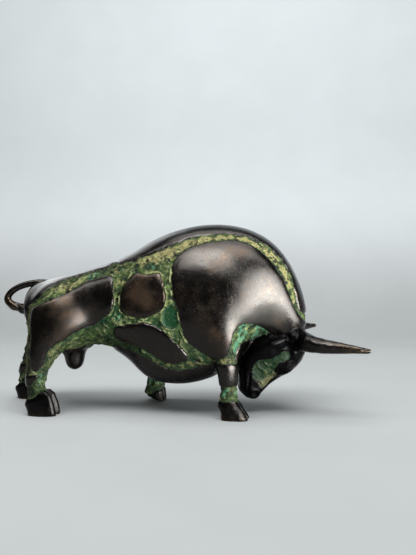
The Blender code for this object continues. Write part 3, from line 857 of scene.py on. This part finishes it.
def carve(bull, casting):
    """Cut the ground and its relief, the face and the feet into the skin."""
    points, on_head_part = bull.points, bull.part("head")
    gap = bull.gap = gap_of(bull)
    ground = ramp(gap, -EDGE, EDGE)
    full_depth = np.where(on_head_part, casting.cheek_depth, casting.ground_depth) / UNIT
    low = full_depth * ground * np.where(on_head_part, 1.0, bull.clear)
    (long, long_size), (short, short_size) = SWELLS
    swell = long * lumps(points, long_size, 9) + short * lumps(points, short_size, 10)
    pillow = -PILLOW[0] * np.exp(np.minimum(gap, 0) / PILLOW[1]) * bull.part("flesh")
    height = ground * relief_of(bull, casting) - low + (swell + pillow) * (1 - ground)
    height += carve_face(bull) + carve_horns_and_feet(bull)
    return points + bull.normals * height[:, None]


def beside(local, line, half_width):
    """How near each point of the head is to a line drawn on its side: 1 on it."""
    places = local[:, :2]
    nearest = np.full(len(places), np.inf)
    corners = np.array(line, float)
    for start, end in zip(corners, corners[1:]):
        edge = end - start
        share = np.clip(((places - start) @ edge) / (edge @ edge), 0, 1)
        nearest = np.minimum(nearest, np.linalg.norm(places - start - share[:, None] * edge, axis=1))
    return np.exp(-((nearest / half_width) ** 2))


def carve_face(bull):
    """Eyes under their ridges, nostrils and the line of the mouth."""
    local = bull.local
    on_head_part = bull.part("head") | bull.part("brow") | bull.part("horn")
    on_face = on_head_part * ramp(np.abs(local[:, 2]), 4, 7)
    from_eye = np.hypot(*((local[:, :2] - EYE) / EYE_REACH).T)
    eye = -EYE_CREASE * np.exp(-(((from_eye - 1) / 0.2) ** 2))
    from_lid = local[:, 1] - EYE[1] - LID_HEIGHT
    eye -= LID_DEPTH * np.exp(-(from_lid**2) / 0.5) * ramp(1 - from_eye, 0.05, 0.3)
    from_nostril = np.hypot(*(local[:, :2] - NOSTRIL).T)
    nostril = -NOSTRIL_SIZE[1] * np.exp(-((from_nostril / NOSTRIL_SIZE[0]) ** 2))
    rim_place, rim_width, rim_height = NOSTRIL_RIM
    nostril += rim_height * np.exp(-(((from_nostril - rim_place) / rim_width) ** 2))
    lines = 0.0
    for line, half_width, height in FACE_LINES:
        lines = lines + height * beside(local, line, half_width)
    hammered = HAMMERING * lumps(bull.points, 4.5, 11) * on_head_part
    return (eye + nostril + lines) * on_face * (0.4 + 0.6 * bull.clear) + hammered


def carve_horns_and_feet(bull):
    """Ribs along each horn, folds down the front of each hoof, and the twist of the tail's end."""
    x, y, z = bull.points.T
    ribs = HORN_RIBS * lumps(bull.local * (3, 3, 0.4), 6, 12)
    folds = HOOF_FOLDS * lumps(bull.points * (1.2, 1.2, 0.25), 3.2, 13)
    tuft = TAIL_TWIST * np.sin((x + z) * 1.3 + y) * ramp(-x, 112, 118) * ramp(84 - z, 0, 4)
    out = np.where(bull.part("horn"), ribs, 0.0)
    out = np.where(bull.part("hoof"), folds * bull.clear, out)
    return np.where(bull.part("tail"), tuft, out)


def tones_of(bull):
    """Where each tone of the patina and the bare metal show, with the painted shade of the head and the
    darkening towards the bottom, as numbers from 0 to 1 for each point.
    """
    points, local = bull.points, bull.local
    x, y, z = points.T
    out = np.abs(local[:, 2])
    mottle = lumps(points, 7, 21)
    fine = lumps(points, 2.6, 22)
    ochre = np.clip(place_of(OCHRE_PLACES, points) + 0.35 * mottle + 0.4 * fine, 0, 1)
    above_cheek = ramp(local[:, 1] + 0.2 * local[:, 0], 2, 9)
    cheek = bull.part("head") * np.clip(above_cheek + 0.4 * fine, 0, 1)
    ochre = ochre * ramp(bull.gap + 0.8 * fine, 0.2, 1.8) * (1 - bull.pocket)
    ochre = np.maximum(ochre * ~bull.part("head"), cheek)
    patches = ramp(lumps(points, 5, 23) + 0.3 * fine, -0.35, 0.25)
    teal = np.clip(place_of(TEAL_PLACES, points) * patches, 0, 1)
    deep = np.clip(np.maximum(place_of(DEEP_PLACES, points) + 0.2 * mottle, 1.2 * bull.pocket), 0, 1)
    deep = np.maximum(deep, 0.8 * bull.part("head"))
    tip = ramp(out, *HORN_TIP) * bull.part("horn")
    edge = bull.part("hoof") * ramp(HOOF_EDGE[1] - z, 0, HOOF_EDGE[1] - HOOF_EDGE[0])
    bend = bull.part("tail") * ramp(-x, *TAIL_BEND)
    worn = np.clip(np.maximum(np.maximum(tip * 0.8, edge), bend * 0.6), 0, 1)
    # Soot and painted shade: head, brow and ears get a nearly black polish that is also painted shade, as
    # the head lies in shade; hooves and horn roots are their own dark colour.
    headwards = bull.part("head") | bull.part("brow") | bull.part("ear")
    soot_and_shade = np.where(headwards, 1.0, 0.0) + 0.75 * bull.part("hoof")
    soot_and_shade += bull.part("horn") * ramp(-out, -HORN_ROOT[1], -HORN_ROOT[0])
    # Painted shade on the flesh where the head meets the neck.
    soot_and_shade += bull.part("flesh") * (1 - bull.clear) * ramp(x, 55, 62)
    umber = place_of(UMBER_PLACES, points)
    return {
        "gap": bull.gap,
        "ochre": ochre,
        "teal": teal,
        # Darker towards the bottom: full below 44 mm high, none above 72 mm, and not on the teal.
        "low_darkening": ramp(72 - z, 0, 28) * (1 - teal),
        "deep": deep,
        "bead": np.clip(bull.bead, 0, 1),
        "relief": bull.relief,
        "pit": bull.pits,
        "pore": place_of(PORE_PLACES, points),
        "satin": place_of(SATIN_PLACES, points),
        "pocket": bull.pocket,
        "worn": worn,
        "soot_and_shade": np.clip(soot_and_shade, 0, 1),
        "umber": np.clip(umber + 0.3 * mottle * umber, 0, 1),
    }


def thinned(obj, facets):
    """Fewer facets, most of them where the relief is."""
    obj.data.calc_loop_triangles()
    thin = obj.modifiers.new("thin", "DECIMATE")
    thin.ratio = min(1.0, facets / len(obj.data.loop_triangles))
    thin.use_collapse_triangulate = True
    return applied(obj)


def level_soles(obj):
    """Cut the soles off flat along the ground and close them."""
    work = bmesh.new()
    work.from_mesh(obj.data)
    everything = [*work.verts, *work.edges, *work.faces]
    bmesh.ops.bisect_plane(
        work, geom=everything, dist=0.02, plane_co=(0, 0, 0), plane_no=(0, 0, -1), clear_outer=True
    )
    rim = [e for e in work.edges if e.is_boundary]
    bmesh.ops.holes_fill(work, edges=rim, sides=0)
    bmesh.ops.triangulate(work, faces=work.faces)
    bmesh.ops.recalc_face_normals(work, faces=work.faces)
    work.to_mesh(obj.data)
    work.free()
    return obj


def set_points(obj, points):
    obj.data.vertices.foreach_set("co", points.astype(np.float32).ravel())
    obj.data.update()


def write_tones(obj, moved, tones):
    """Give each point of obj the tones of the carved points nearest to it."""
    tree = kdtree.KDTree(len(moved))
    for i, p in enumerate(moved.tolist()):
        tree.insert(p, i)
    tree.balance()
    names = list(tones)
    table = np.array([tones[name] for name in names]).T
    mixed = np.empty((len(obj.data.vertices), len(names)))
    for i, p in enumerate(points_of(obj).tolist()):
        found = tree.find_n(p, 3)
        weights = np.array([1 / (distance + 0.05) for _, _, distance in found])
        mixed[i] = weights @ table[[index for _, index, _ in found]] / weights.sum()
    for name, values in zip(names, mixed.T):
        layer = obj.data.attributes.new(name, "FLOAT", "POINT")
        layer.data.foreach_set("value", values.astype(np.float32))


def fit_to_frame(obj):
    """Bring the wax to the size and place of the casting in the frame."""
    points = points_of(obj)
    low, high = points.min(axis=0), points.max(axis=0)
    scale = CASTING_LENGTH / (high[0] - low[0])
    middle = (low + high) / 2
    target = (np.array(LOWEST) + np.array(HIGHEST)) / 2
    points = (points - middle) * scale + target
    points[:, 2] += LOWEST.z - points[:, 2].min()
    set_points(obj, points)


class Wiring:
    """Short ways to add and join the nodes of one material."""

    def __init__(self, name):
        self.material = bpy.data.materials.new(name)
        self.material.use_nodes = True
        self.tree = self.material.node_tree
        self.shader = self.tree.nodes["Principled BSDF"]
        self.place = self.add("ShaderNodeTexCoord").outputs["Object"]

    def add(self, kind, **settings):
        node = self.tree.nodes.new(kind)
        for name, value in settings.items():
            setattr(node, name, value)
        return node

    def feed(self, socket, value):
        """Join a socket to an output, or set it."""
        if isinstance(value, bpy.types.NodeSocket):
            self.tree.links.new(value, socket)
        else:
            socket.default_value = value

    def noise(self, size, detail=3.0, roughness=0.55, place=None):
        """Noise with lumps of this many millimetres."""
        node = self.add("ShaderNodeTexNoise")
        self.feed(node.inputs["Vector"], place or self.place)
        node.inputs["Scale"].default_value = 1 / (size * UNIT)
        node.inputs["Detail"].default_value = detail
        node.inputs["Roughness"].default_value = roughness
        return node.outputs["Fac"]

    def warped(self, size, push):
        """The place, pushed about by slow noise, so that strokes drawn in it bend."""
        slow = self.add("ShaderNodeTexNoise")
        self.feed(slow.inputs["Vector"], self.place)
        slow.inputs["Scale"].default_value = 1 / (size * UNIT)
        node = self.add("ShaderNodeVectorMath", operation="MULTIPLY_ADD")
        self.feed(node.inputs[0], slow.outputs["Color"])
        node.inputs[1].default_value = (push * UNIT,) * 3
        self.feed(node.inputs[2], self.place)
        return node.outputs["Vector"]

    def stretched(self, turn, stretch, place=None):
        """The place, turned and pulled out along one way, for scratches."""
        node = self.add("ShaderNodeMapping")
        self.feed(node.inputs["Vector"], place or self.place)
        node.inputs["Rotation"].default_value = [math.radians(a) for a in turn]
        node.inputs["Scale"].default_value = stretch
        return node.outputs["Vector"]

    def tone(self, name):
        return self.add("ShaderNodeAttribute", attribute_name=name).outputs["Fac"]

    def fade(self, value, low, high, start=0.0, end=1.0):
        """Value from low to high becomes start to end, smoothly."""
        node = self.add("ShaderNodeMapRange", interpolation_type="SMOOTHSTEP")
        for name, number in zip(("From Min", "From Max", "To Min", "To Max"), (low, high, start, end)):
            node.inputs[name].default_value = number
        self.feed(node.inputs["Value"], value)
        return node.outputs["Result"]

    def spread(self, value, reach):
        """Noise from a texture as a number that swings this far to either side of nothing."""
        return self.fade(value, 0.3, 0.7, -reach, reach)

    def sum(self, first, second, operation="ADD"):
        node = self.add("ShaderNodeMath", operation=operation)
        self.feed(node.inputs[0], first)
        self.feed(node.inputs[1], second)
        return node.outputs[0]

    def times(self, first, second):
        return self.sum(first, second, "MULTIPLY")

    def mix(self, share, first, second):
        """A colour between two."""
        node = self.add("ShaderNodeMix", data_type="RGBA")
        self.feed(node.inputs[0], share)
        for socket, colour in ((node.inputs[6], first), (node.inputs[7], second)):
            self.feed(socket, colour if isinstance(colour, bpy.types.NodeSocket) else (*colour, 1.0))
        return node.outputs[2]

    def over(self, below, colour, cover, most):
        """A colour laid over another by its cover, times the most that it may hide."""
        return self.mix(self.times(cover, most), below, colour)

    def between(self, share, first, second):
        """A number between two."""
        node = self.add("ShaderNodeMix", data_type="FLOAT")
        self.feed(node.inputs[0], share)
        self.feed(node.inputs[2], first)
        self.feed(node.inputs[3], second)
        return node.outputs[0]

    def bump(self, height, depth, amount, below=None):
        node = self.add("ShaderNodeBump")
        node.inputs["Strength"].default_value = amount
        node.inputs["Distance"].default_value = depth * UNIT
        self.feed(node.inputs["Height"], height)
        if below is not None:
            self.feed(node.inputs["Normal"], below)
        return node.outputs["Normal"]


def scratches_of(w):
    """Bent strokes of a file and a polishing cloth, in three ways, each on its own patches."""
    bent = w.warped(30, 14)
    total = 0.0
    for turn, seed_size in (((0, 38, 15), 17), ((0, -50, -10), 21), ((25, 5, 60), 26)):
        strokes = w.fade(w.noise(0.45, 2, 0.5, w.stretched(turn, (1.0, 1.0, 0.05), bent)), 0.60, 0.74)
        patches = w.fade(w.noise(seed_size, 2), 0.48, 0.66)
        total = w.sum(total, w.times(strokes, patches), "MAXIMUM")
    return total


def crust_of(w, patina):
    """The colour of the ground: green, ochre and blue-green, pale on its tops, dark in its pits."""
    mottle, grain, fleck = w.noise(4.5, 4, 0.65), w.noise(1.6, 3, 0.6), w.noise(0.8, 2, 0.6)
    crust = w.mix(w.fade(mottle, 0.38, 0.60), patina.moss, patina.leaf)
    crust = w.over(crust, patina.deep, w.tone("deep"), 0.85)
    gold = w.fade(w.sum(w.tone("ochre"), w.spread(mottle, 0.5)), 0.30, 0.80)
    grained = w.times(gold, w.fade(grain, 0.36, 0.50, 0.35, 1.0))
    crust = w.over(crust, patina.ochre, grained, 0.9)
    sea = w.fade(w.sum(w.tone("teal"), w.spread(w.noise(2.2, 3, 0.6), 0.38)), 0.30, 0.70)
    crust = w.over(crust, patina.verdigris, sea, 0.9)
    top = w.fade(w.sum(w.tone("relief"), w.spread(fleck, 0.2)), 0.70, 1.1)
    crust = w.over(crust, patina.cream, top, 0.34)
    hollow = w.fade(w.sum(w.tone("relief"), w.spread(grain, 0.2)), 0.42, 0.12)
    crust = w.over(crust, patina.moss, hollow, 0.75)
    lit = w.fade(w.sum(w.tone("bead"), w.spread(grain, 0.25)), 0.30, 0.75)
    crust = w.over(crust, patina.cream, lit, 0.55)
    holes = w.sum(w.tone("pit"), w.fade(grain, 0.34, 0.26), "MAXIMUM")
    relief = w.sum(w.sum(w.times(fleck, 0.35), grain), w.times(holes, -0.6))
    # Crust darker moss green towards the bottom.
    crust = w.over(crust, patina.moss, w.tone("low_darkening"), 0.5)
    crust = w.over(crust, patina.deep, w.tone("pocket"), 0.7)
    return w.mix(w.times(holes, 0.8), crust, patina.pit), relief, grain


def patinated_bronze(patina):
    """Dark polished metal on the shields, green and ochre crust in the ground, brass where hands rub, and
    painted shade on the head.
    """
    w = Wiring("patinated_bronze")
    gap = w.sum(w.tone("gap"), w.spread(w.noise(1.6, 2), 0.25))
    ground = w.fade(gap, -0.15, 0.35)
    cloud = w.noise(13, 4, 0.6)
    scratches = scratches_of(w)
    speckle = w.noise(1.3, 3, 0.65)
    porous = w.sum(w.fade(w.noise(15, 2), 0.52, 0.66, 0.0, 0.5), w.tone("pore"))
    pores = w.times(w.fade(w.noise(0.8, 2, 0.5), 0.36, 0.28), porous)

    brown = w.fade(w.sum(w.tone("umber"), w.spread(cloud, 0.25)), 0.05, 1.1)
    metal = w.mix(brown, patina.shadow_metal, patina.warm_metal)
    blotch = w.fade(w.noise(5, 4, 0.65), 0.45, 0.70)
    metal = w.over(metal, patina.warm_metal, blotch, 0.16)
    metal = w.over(metal, patina.brass, scratches, 0.28)
    drawn = w.stretched((0, 0, 20), (0.5, 1.0, 1.0))
    streaks = w.fade(w.noise(2.5, 4, 0.65, drawn), 0.40, 0.60)
    metal = w.over(metal, patina.brass, w.times(w.tone("worn"), streaks), 0.6)
    # Nearly black metal: the dark polish of head and hooves, and painted shade on the head.
    metal = w.over(metal, patina.soot_and_shade, w.tone("soot_and_shade"), 0.93)
    metal = w.over(metal, patina.silver, w.tone("pore"), 0.35)
    metal = w.mix(pores, metal, patina.pit)
    crust, relief, grain = crust_of(w, patina)
    # Painted shade: the crust on the head and by the head-neck join is darkened towards moss green.
    crust = w.over(crust, patina.moss, w.tone("soot_and_shade"), 0.3)

    w.feed(w.shader.inputs["Base Color"], w.mix(ground, metal, crust))
    bare = w.fade(w.times(brown, w.tone("umber")), 0.0, 1.0, 1.0, 0.8)
    w.feed(w.shader.inputs["Metallic"], w.between(ground, bare, 0.05))
    w.shader.inputs["Specular IOR Level"].default_value = 0.10
    polish = w.fade(cloud, 0.3, 0.7, patina.polish - 0.04, patina.polish + 0.06)
    polish = w.sum(polish, w.times(w.fade(speckle, 0.45, 0.75), 0.10))
    for name, dulling in (("soot_and_shade", 0.06), ("pore", 0.18), ("satin", 0.24)):
        polish = w.sum(polish, w.times(w.tone(name), dulling))
    hollow = w.sum(w.tone("deep"), w.spread(grain, 0.2))
    wet = w.fade(hollow, 0.4, 0.9, patina.crust_roughness, 0.25)
    w.feed(w.shader.inputs["Roughness"], w.between(ground, polish, wet))
    fine = w.sum(w.times(scratches, -0.30), w.times(speckle, 0.9))
    first = w.bump(w.sum(fine, w.times(pores, -1.2)), 0.10, 0.5)
    second = w.bump(w.times(relief, ground), 0.8, 0.7, first)
    w.feed(w.shader.inputs["Normal"], second)
    return w.material


def studio_paint(low, high):
    """Matt paint, a little uneven, one colour on the floor that turns into another up the wall."""
    w = Wiring("studio_paint")
    place = w.add("ShaderNodeSeparateXYZ")
    w.feed(place.inputs["Vector"], w.place)
    colour = w.mix(w.fade(place.outputs["Z"], 0.0, PAINT_HEIGHT * CASTING_LENGTH), low, high)
    colour = w.mix(w.fade(w.noise(90, 2), 0.3, 0.7, 0.0, 0.03), colour, (0.0, 0.0, 0.0))
    w.feed(w.shader.inputs["Base Color"], colour)
    w.shader.inputs["Roughness"].default_value = 0.75
    w.shader.inputs["Specular IOR Level"].default_value = 0.2
    return w.material


def aim(obj, target):
    obj.rotation_mode = "QUATERNION"
    obj.rotation_quaternion = (Vector(target) - obj.location).to_track_quat("-Z", "Y")


def soft_light(name, panel, radiance, colour):
    """A lit panel, which the camera can't see."""
    place, target, size, beam = panel
    lamp = bpy.data.lights.new(name, "AREA")
    lamp.shape = "RECTANGLE"
    lamp.size, lamp.size_y = (side * UNIT for side in size)
    lamp.spread = math.radians(beam)
    lamp.color = colour
    lamp.energy = radiance * math.pi * lamp.size * lamp.size_y
    light = bpy.data.objects.new(name, lamp)
    light.location = Vector(place) * UNIT
    aim(light, Vector(target) * UNIT)
    light.visible_camera = False
    bpy.context.scene.collection.objects.link(light)
    return light


def sweep():
    """Floor and wall as one sheet, joined by a round bend."""
    depth, wall, width = (CASTING_LENGTH * share for share in (SWEEP_DEPTH, SWEEP_HEIGHT, SWEEP_WIDTH))
    bend = BEND_SHARE * depth
    line = [(-3.0 * depth, 0.0)]
    for i in range(BEND_STEPS + 1):
        turn = math.pi / 2 * i / BEND_STEPS
        line.append((depth - bend + bend * math.sin(turn), bend - bend * math.cos(turn)))
    line.append((depth, wall))
    work = bmesh.new()
    rows = [[work.verts.new((x, y, z)) for y, z in line] for x in (-width / 2, width / 2)]
    for a, b, c, d in zip(rows[0], rows[0][1:], rows[1][1:], rows[1]):
        work.faces.new((a, d, c, b))
    bmesh.ops.recalc_face_normals(work, faces=work.faces)
    for face in work.faces:
        face.smooth = True
    return object_of(work, "studio_sweep")


def length(name, description, default, least=0.0):
    """A length that the panel shows."""
    return FloatProperty(name=name, description=description, default=default, min=least, unit="LENGTH")


def strength(name, description, default):
    """The brightness of a light that the panel shows."""
    return FloatProperty(name=name, description=description, default=default, min=0.0)


def fraction(name, description, default):
    """A number from 0 to 1 that the panel shows."""
    return FloatProperty(
        name=name, description=description, default=default, min=0.0, max=1.0, subtype="FACTOR"
    )


def tint(name, description, default):
    """A colour that the panel shows."""
    return FloatVectorProperty(
        name=name, description=description, default=default, size=3, min=0.0, max=1.0, subtype="COLOR"
    )


class CastingSizes(bpy.types.PropertyGroup):
    """Sizes of the carved skin."""

    ground_depth: length("Ground depth", "How far the rough ground lies below the shields", 1.5 * UNIT)
    cheek_depth: length("Cheek depth", "How far the rough patch on each cheek is sunk", 0.9 * UNIT)
    bead_height: length("Bead height", "Height of the thin beads along the shields", 1.0 * UNIT)
    roughness: length("Relief of the ground", "Height of its wrinkles and lumps", 0.85 * UNIT)
    voxel: length("Fineness", "Spacing of the points that the skin is carved with", 0.6 * UNIT, 0.2 * UNIT)
    facets: IntProperty(
        name="Facets",
        description="How many triangles the finished skin has",
        default=190000,
        min=20000,
        max=198000,
    )


class PatinaColours(bpy.types.PropertyGroup):
    """Colours and polish of the bronze."""

    shadow_metal: tint("Dark metal", "The darker clouds of the polished shields", (0.026, 0.024, 0.0225))
    warm_metal: tint("Warm metal", "The browner clouds of the polished shields", (0.048, 0.031, 0.020))
    silver: tint("Bright metal", "The porous polished metal of the neck", (0.095, 0.089, 0.080))
    # Nearly black: the polish of head and hooves, and on the head painted shade as well.
    soot_and_shade: tint("Soot", "The nearly black polish of head and hooves", (0.0032, 0.0032, 0.0034))
    brass: tint("Brass", "Bare metal in scratches and where hands rub", (0.17, 0.12, 0.055))
    moss: tint("Moss green", "Darker green of the crust", (0.0022, 0.0050, 0.0018))
    leaf: tint("Leaf green", "Middle green of the crust", (0.0240, 0.0390, 0.0098))
    deep: tint("Deep green", "Glassy green in the deepest hollows", (0.0016, 0.0140, 0.0052))
    ochre: tint("Ochre", "Yellow crust along the crest", (0.094, 0.083, 0.0350))
    verdigris: tint("Verdigris", "Bright blue-green crust", (0.026, 0.074, 0.042))
    cream: tint("Cream", "Rubbed tops of the beads", (0.160, 0.166, 0.074))
    pit: tint("Pits", "The bottoms of pits and pores", (0.002, 0.002, 0.0018))
    polish: fraction("Polish", "Roughness of the polished shields", 0.20)
    crust_roughness: fraction("Crust roughness", "Roughness of the crust in the ground", 0.62)


class StudioSettings(bpy.types.PropertyGroup):
    """Floor, lights and camera."""

    floor_paint: tint("Floor paint", "Colour of the floor", (0.365, 0.375, 0.373))
    wall_paint: tint("Wall paint", "Colour of the wall", (0.640, 0.670, 0.680))
    air: tint("Surroundings", "Colour of the room beyond the lights", (0.62, 0.65, 0.66))
    air_strength: strength("Room light", "Strength of the light from the room", 0.15)
    sky: strength("Sky light", "Brightness of the large panel overhead", 4.6)
    wall: strength("Wall light", "Brightness of the panel that lights the wall", 4.4)
    key: strength("Key light", "Brightness of the small panel over the shoulder", 1.4)
    window: strength("Window", "Brightness of the window before the head", 8.0)
    back: strength("Back light", "Brightness of the panel behind the rump", 1.4)
    lamp: strength("Lamp", "Brightness of the small warm lamp", 0.8)
    focal_length: FloatProperty(
        name="Focal length", description="Focal length of the camera", default=41.5, min=1.0, unit="CAMERA"
    )


class BULL_OT_cast(bpy.types.Operator):
    """Carve the bull's skin and give it its polish and patina"""

    bl_idname = "bull.cast"
    bl_label = "Cast the bull"

    def execute(self, context):
        casting = context.scene.bull_casting
        bull = Bull(casting.voxel / UNIT)
        moved = carve(bull, casting)
        piece = bull.skin
        set_points(piece, moved)
        thinned(piece, casting.facets)
        level_soles(piece)
        write_tones(piece, moved, tones_of(bull))
        fit_to_frame(piece)
        piece.data.shade_smooth()
        piece.name = piece.data.name = "bronze_bull"
        piece.data.materials.clear()
        piece.data.materials.append(patinated_bronze(context.scene.bull_patina))
        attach(piece, "root")
        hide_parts("bull")
        return {"FINISHED"}


class BULL_OT_studio(bpy.types.Operator):
    """Add the floor and wall, the lights and the camera"""

    bl_idname = "bull.studio"
    bl_label = "Set the studio"

    def execute(self, context):
        studio = context.scene.bull_studio
        self.add_room(context, studio)
        self.add_lights(studio)
        self.add_camera(context, studio)
        context.scene.view_settings.view_transform = "Standard"
        return {"FINISHED"}

    def add_room(self, context, studio):
        floor = sweep()
        floor.data.materials.append(studio_paint(studio.floor_paint, studio.wall_paint))
        world = bpy.data.worlds.new("studio_air")
        world.use_nodes = True
        air = world.node_tree.nodes["Background"]
        air.inputs["Color"].default_value = (*studio.air, 1)
        air.inputs["Strength"].default_value = studio.air_strength
        context.scene.world = world

    def add_lights(self, studio):
        for name, panel in ROOM_PANELS.items():
            soft_light(name + "_panel", panel, getattr(studio, name), DAYLIGHT)
        bull_alone = bpy.data.collections.new("bull_alone")
        bull_alone.objects.link(bpy.data.objects["bronze_bull"])
        for name, panel in BULL_PANELS.items():
            colour = LAMPLIGHT if name == "lamp" else DAYLIGHT
            light = soft_light(name + "_panel", panel, getattr(studio, name), colour)
            light.light_linking.receiver_collection = bull_alone
            light.light_linking.blocker_collection = bull_alone

    def add_camera(self, context, studio):
        lens = bpy.data.cameras.new("camera")
        lens.lens = studio.focal_length
        lens.sensor_width = 36.0
        camera = bpy.data.objects.new("camera", lens)
        camera.location = Vector(CAMERA_PLACE) * UNIT
        camera.rotation_mode = "QUATERNION"
        turn = Matrix.Rotation(CAMERA_AZIMUTH, 3, "Z") @ Matrix.Rotation(math.pi / 2 + CAMERA_PITCH, 3, "X")
        camera.rotation_quaternion = (turn @ Matrix.Rotation(-CAMERA_ROLL, 3, "Z")).to_quaternion()
        context.scene.collection.objects.link(camera)
        context.scene.camera = camera


class BULL_PT_panel(bpy.types.Panel):
    """Lists the sizes, the colours and the two steps"""

    bl_idname = "BULL_PT_panel"
    bl_label = "Bronze Bull"
    bl_space_type = "VIEW_3D"
    bl_region_type = "UI"
    bl_category = "Bull"

    def draw(self, context):
        scene = context.scene
        for group, operator in (
            (scene.bull_casting, BULL_OT_cast),
            (scene.bull_patina, None),
            (scene.bull_studio, BULL_OT_studio),
        ):
            box = self.layout.box()
            for name in group.bl_rna.properties.keys():
                if name not in ("rna_type", "name"):
                    box.prop(group, name)
            if operator:
                box.operator(operator.bl_idname)


CLASSES = (
    CastingSizes,
    PatinaColours,
    StudioSettings,
    BULL_OT_cast,
    BULL_OT_studio,
    BULL_PT_panel,
)
SETTINGS = {
    "bull_casting": CastingSizes,
    "bull_patina": PatinaColours,
    "bull_studio": StudioSettings,
}


def register():
    for cls in CLASSES:
        bpy.utils.register_class(cls)
    for name, group in SETTINGS.items():
        setattr(bpy.types.Scene, name, PointerProperty(type=group))


def unregister():
    for name in SETTINGS:
        delattr(bpy.types.Scene, name)
    for cls in reversed(CLASSES):
        bpy.utils.unregister_class(cls)


def main():
    register()
    bpy.ops.bull.cast()
    bpy.ops.bull.studio()


if __name__ == "__main__":
    main()
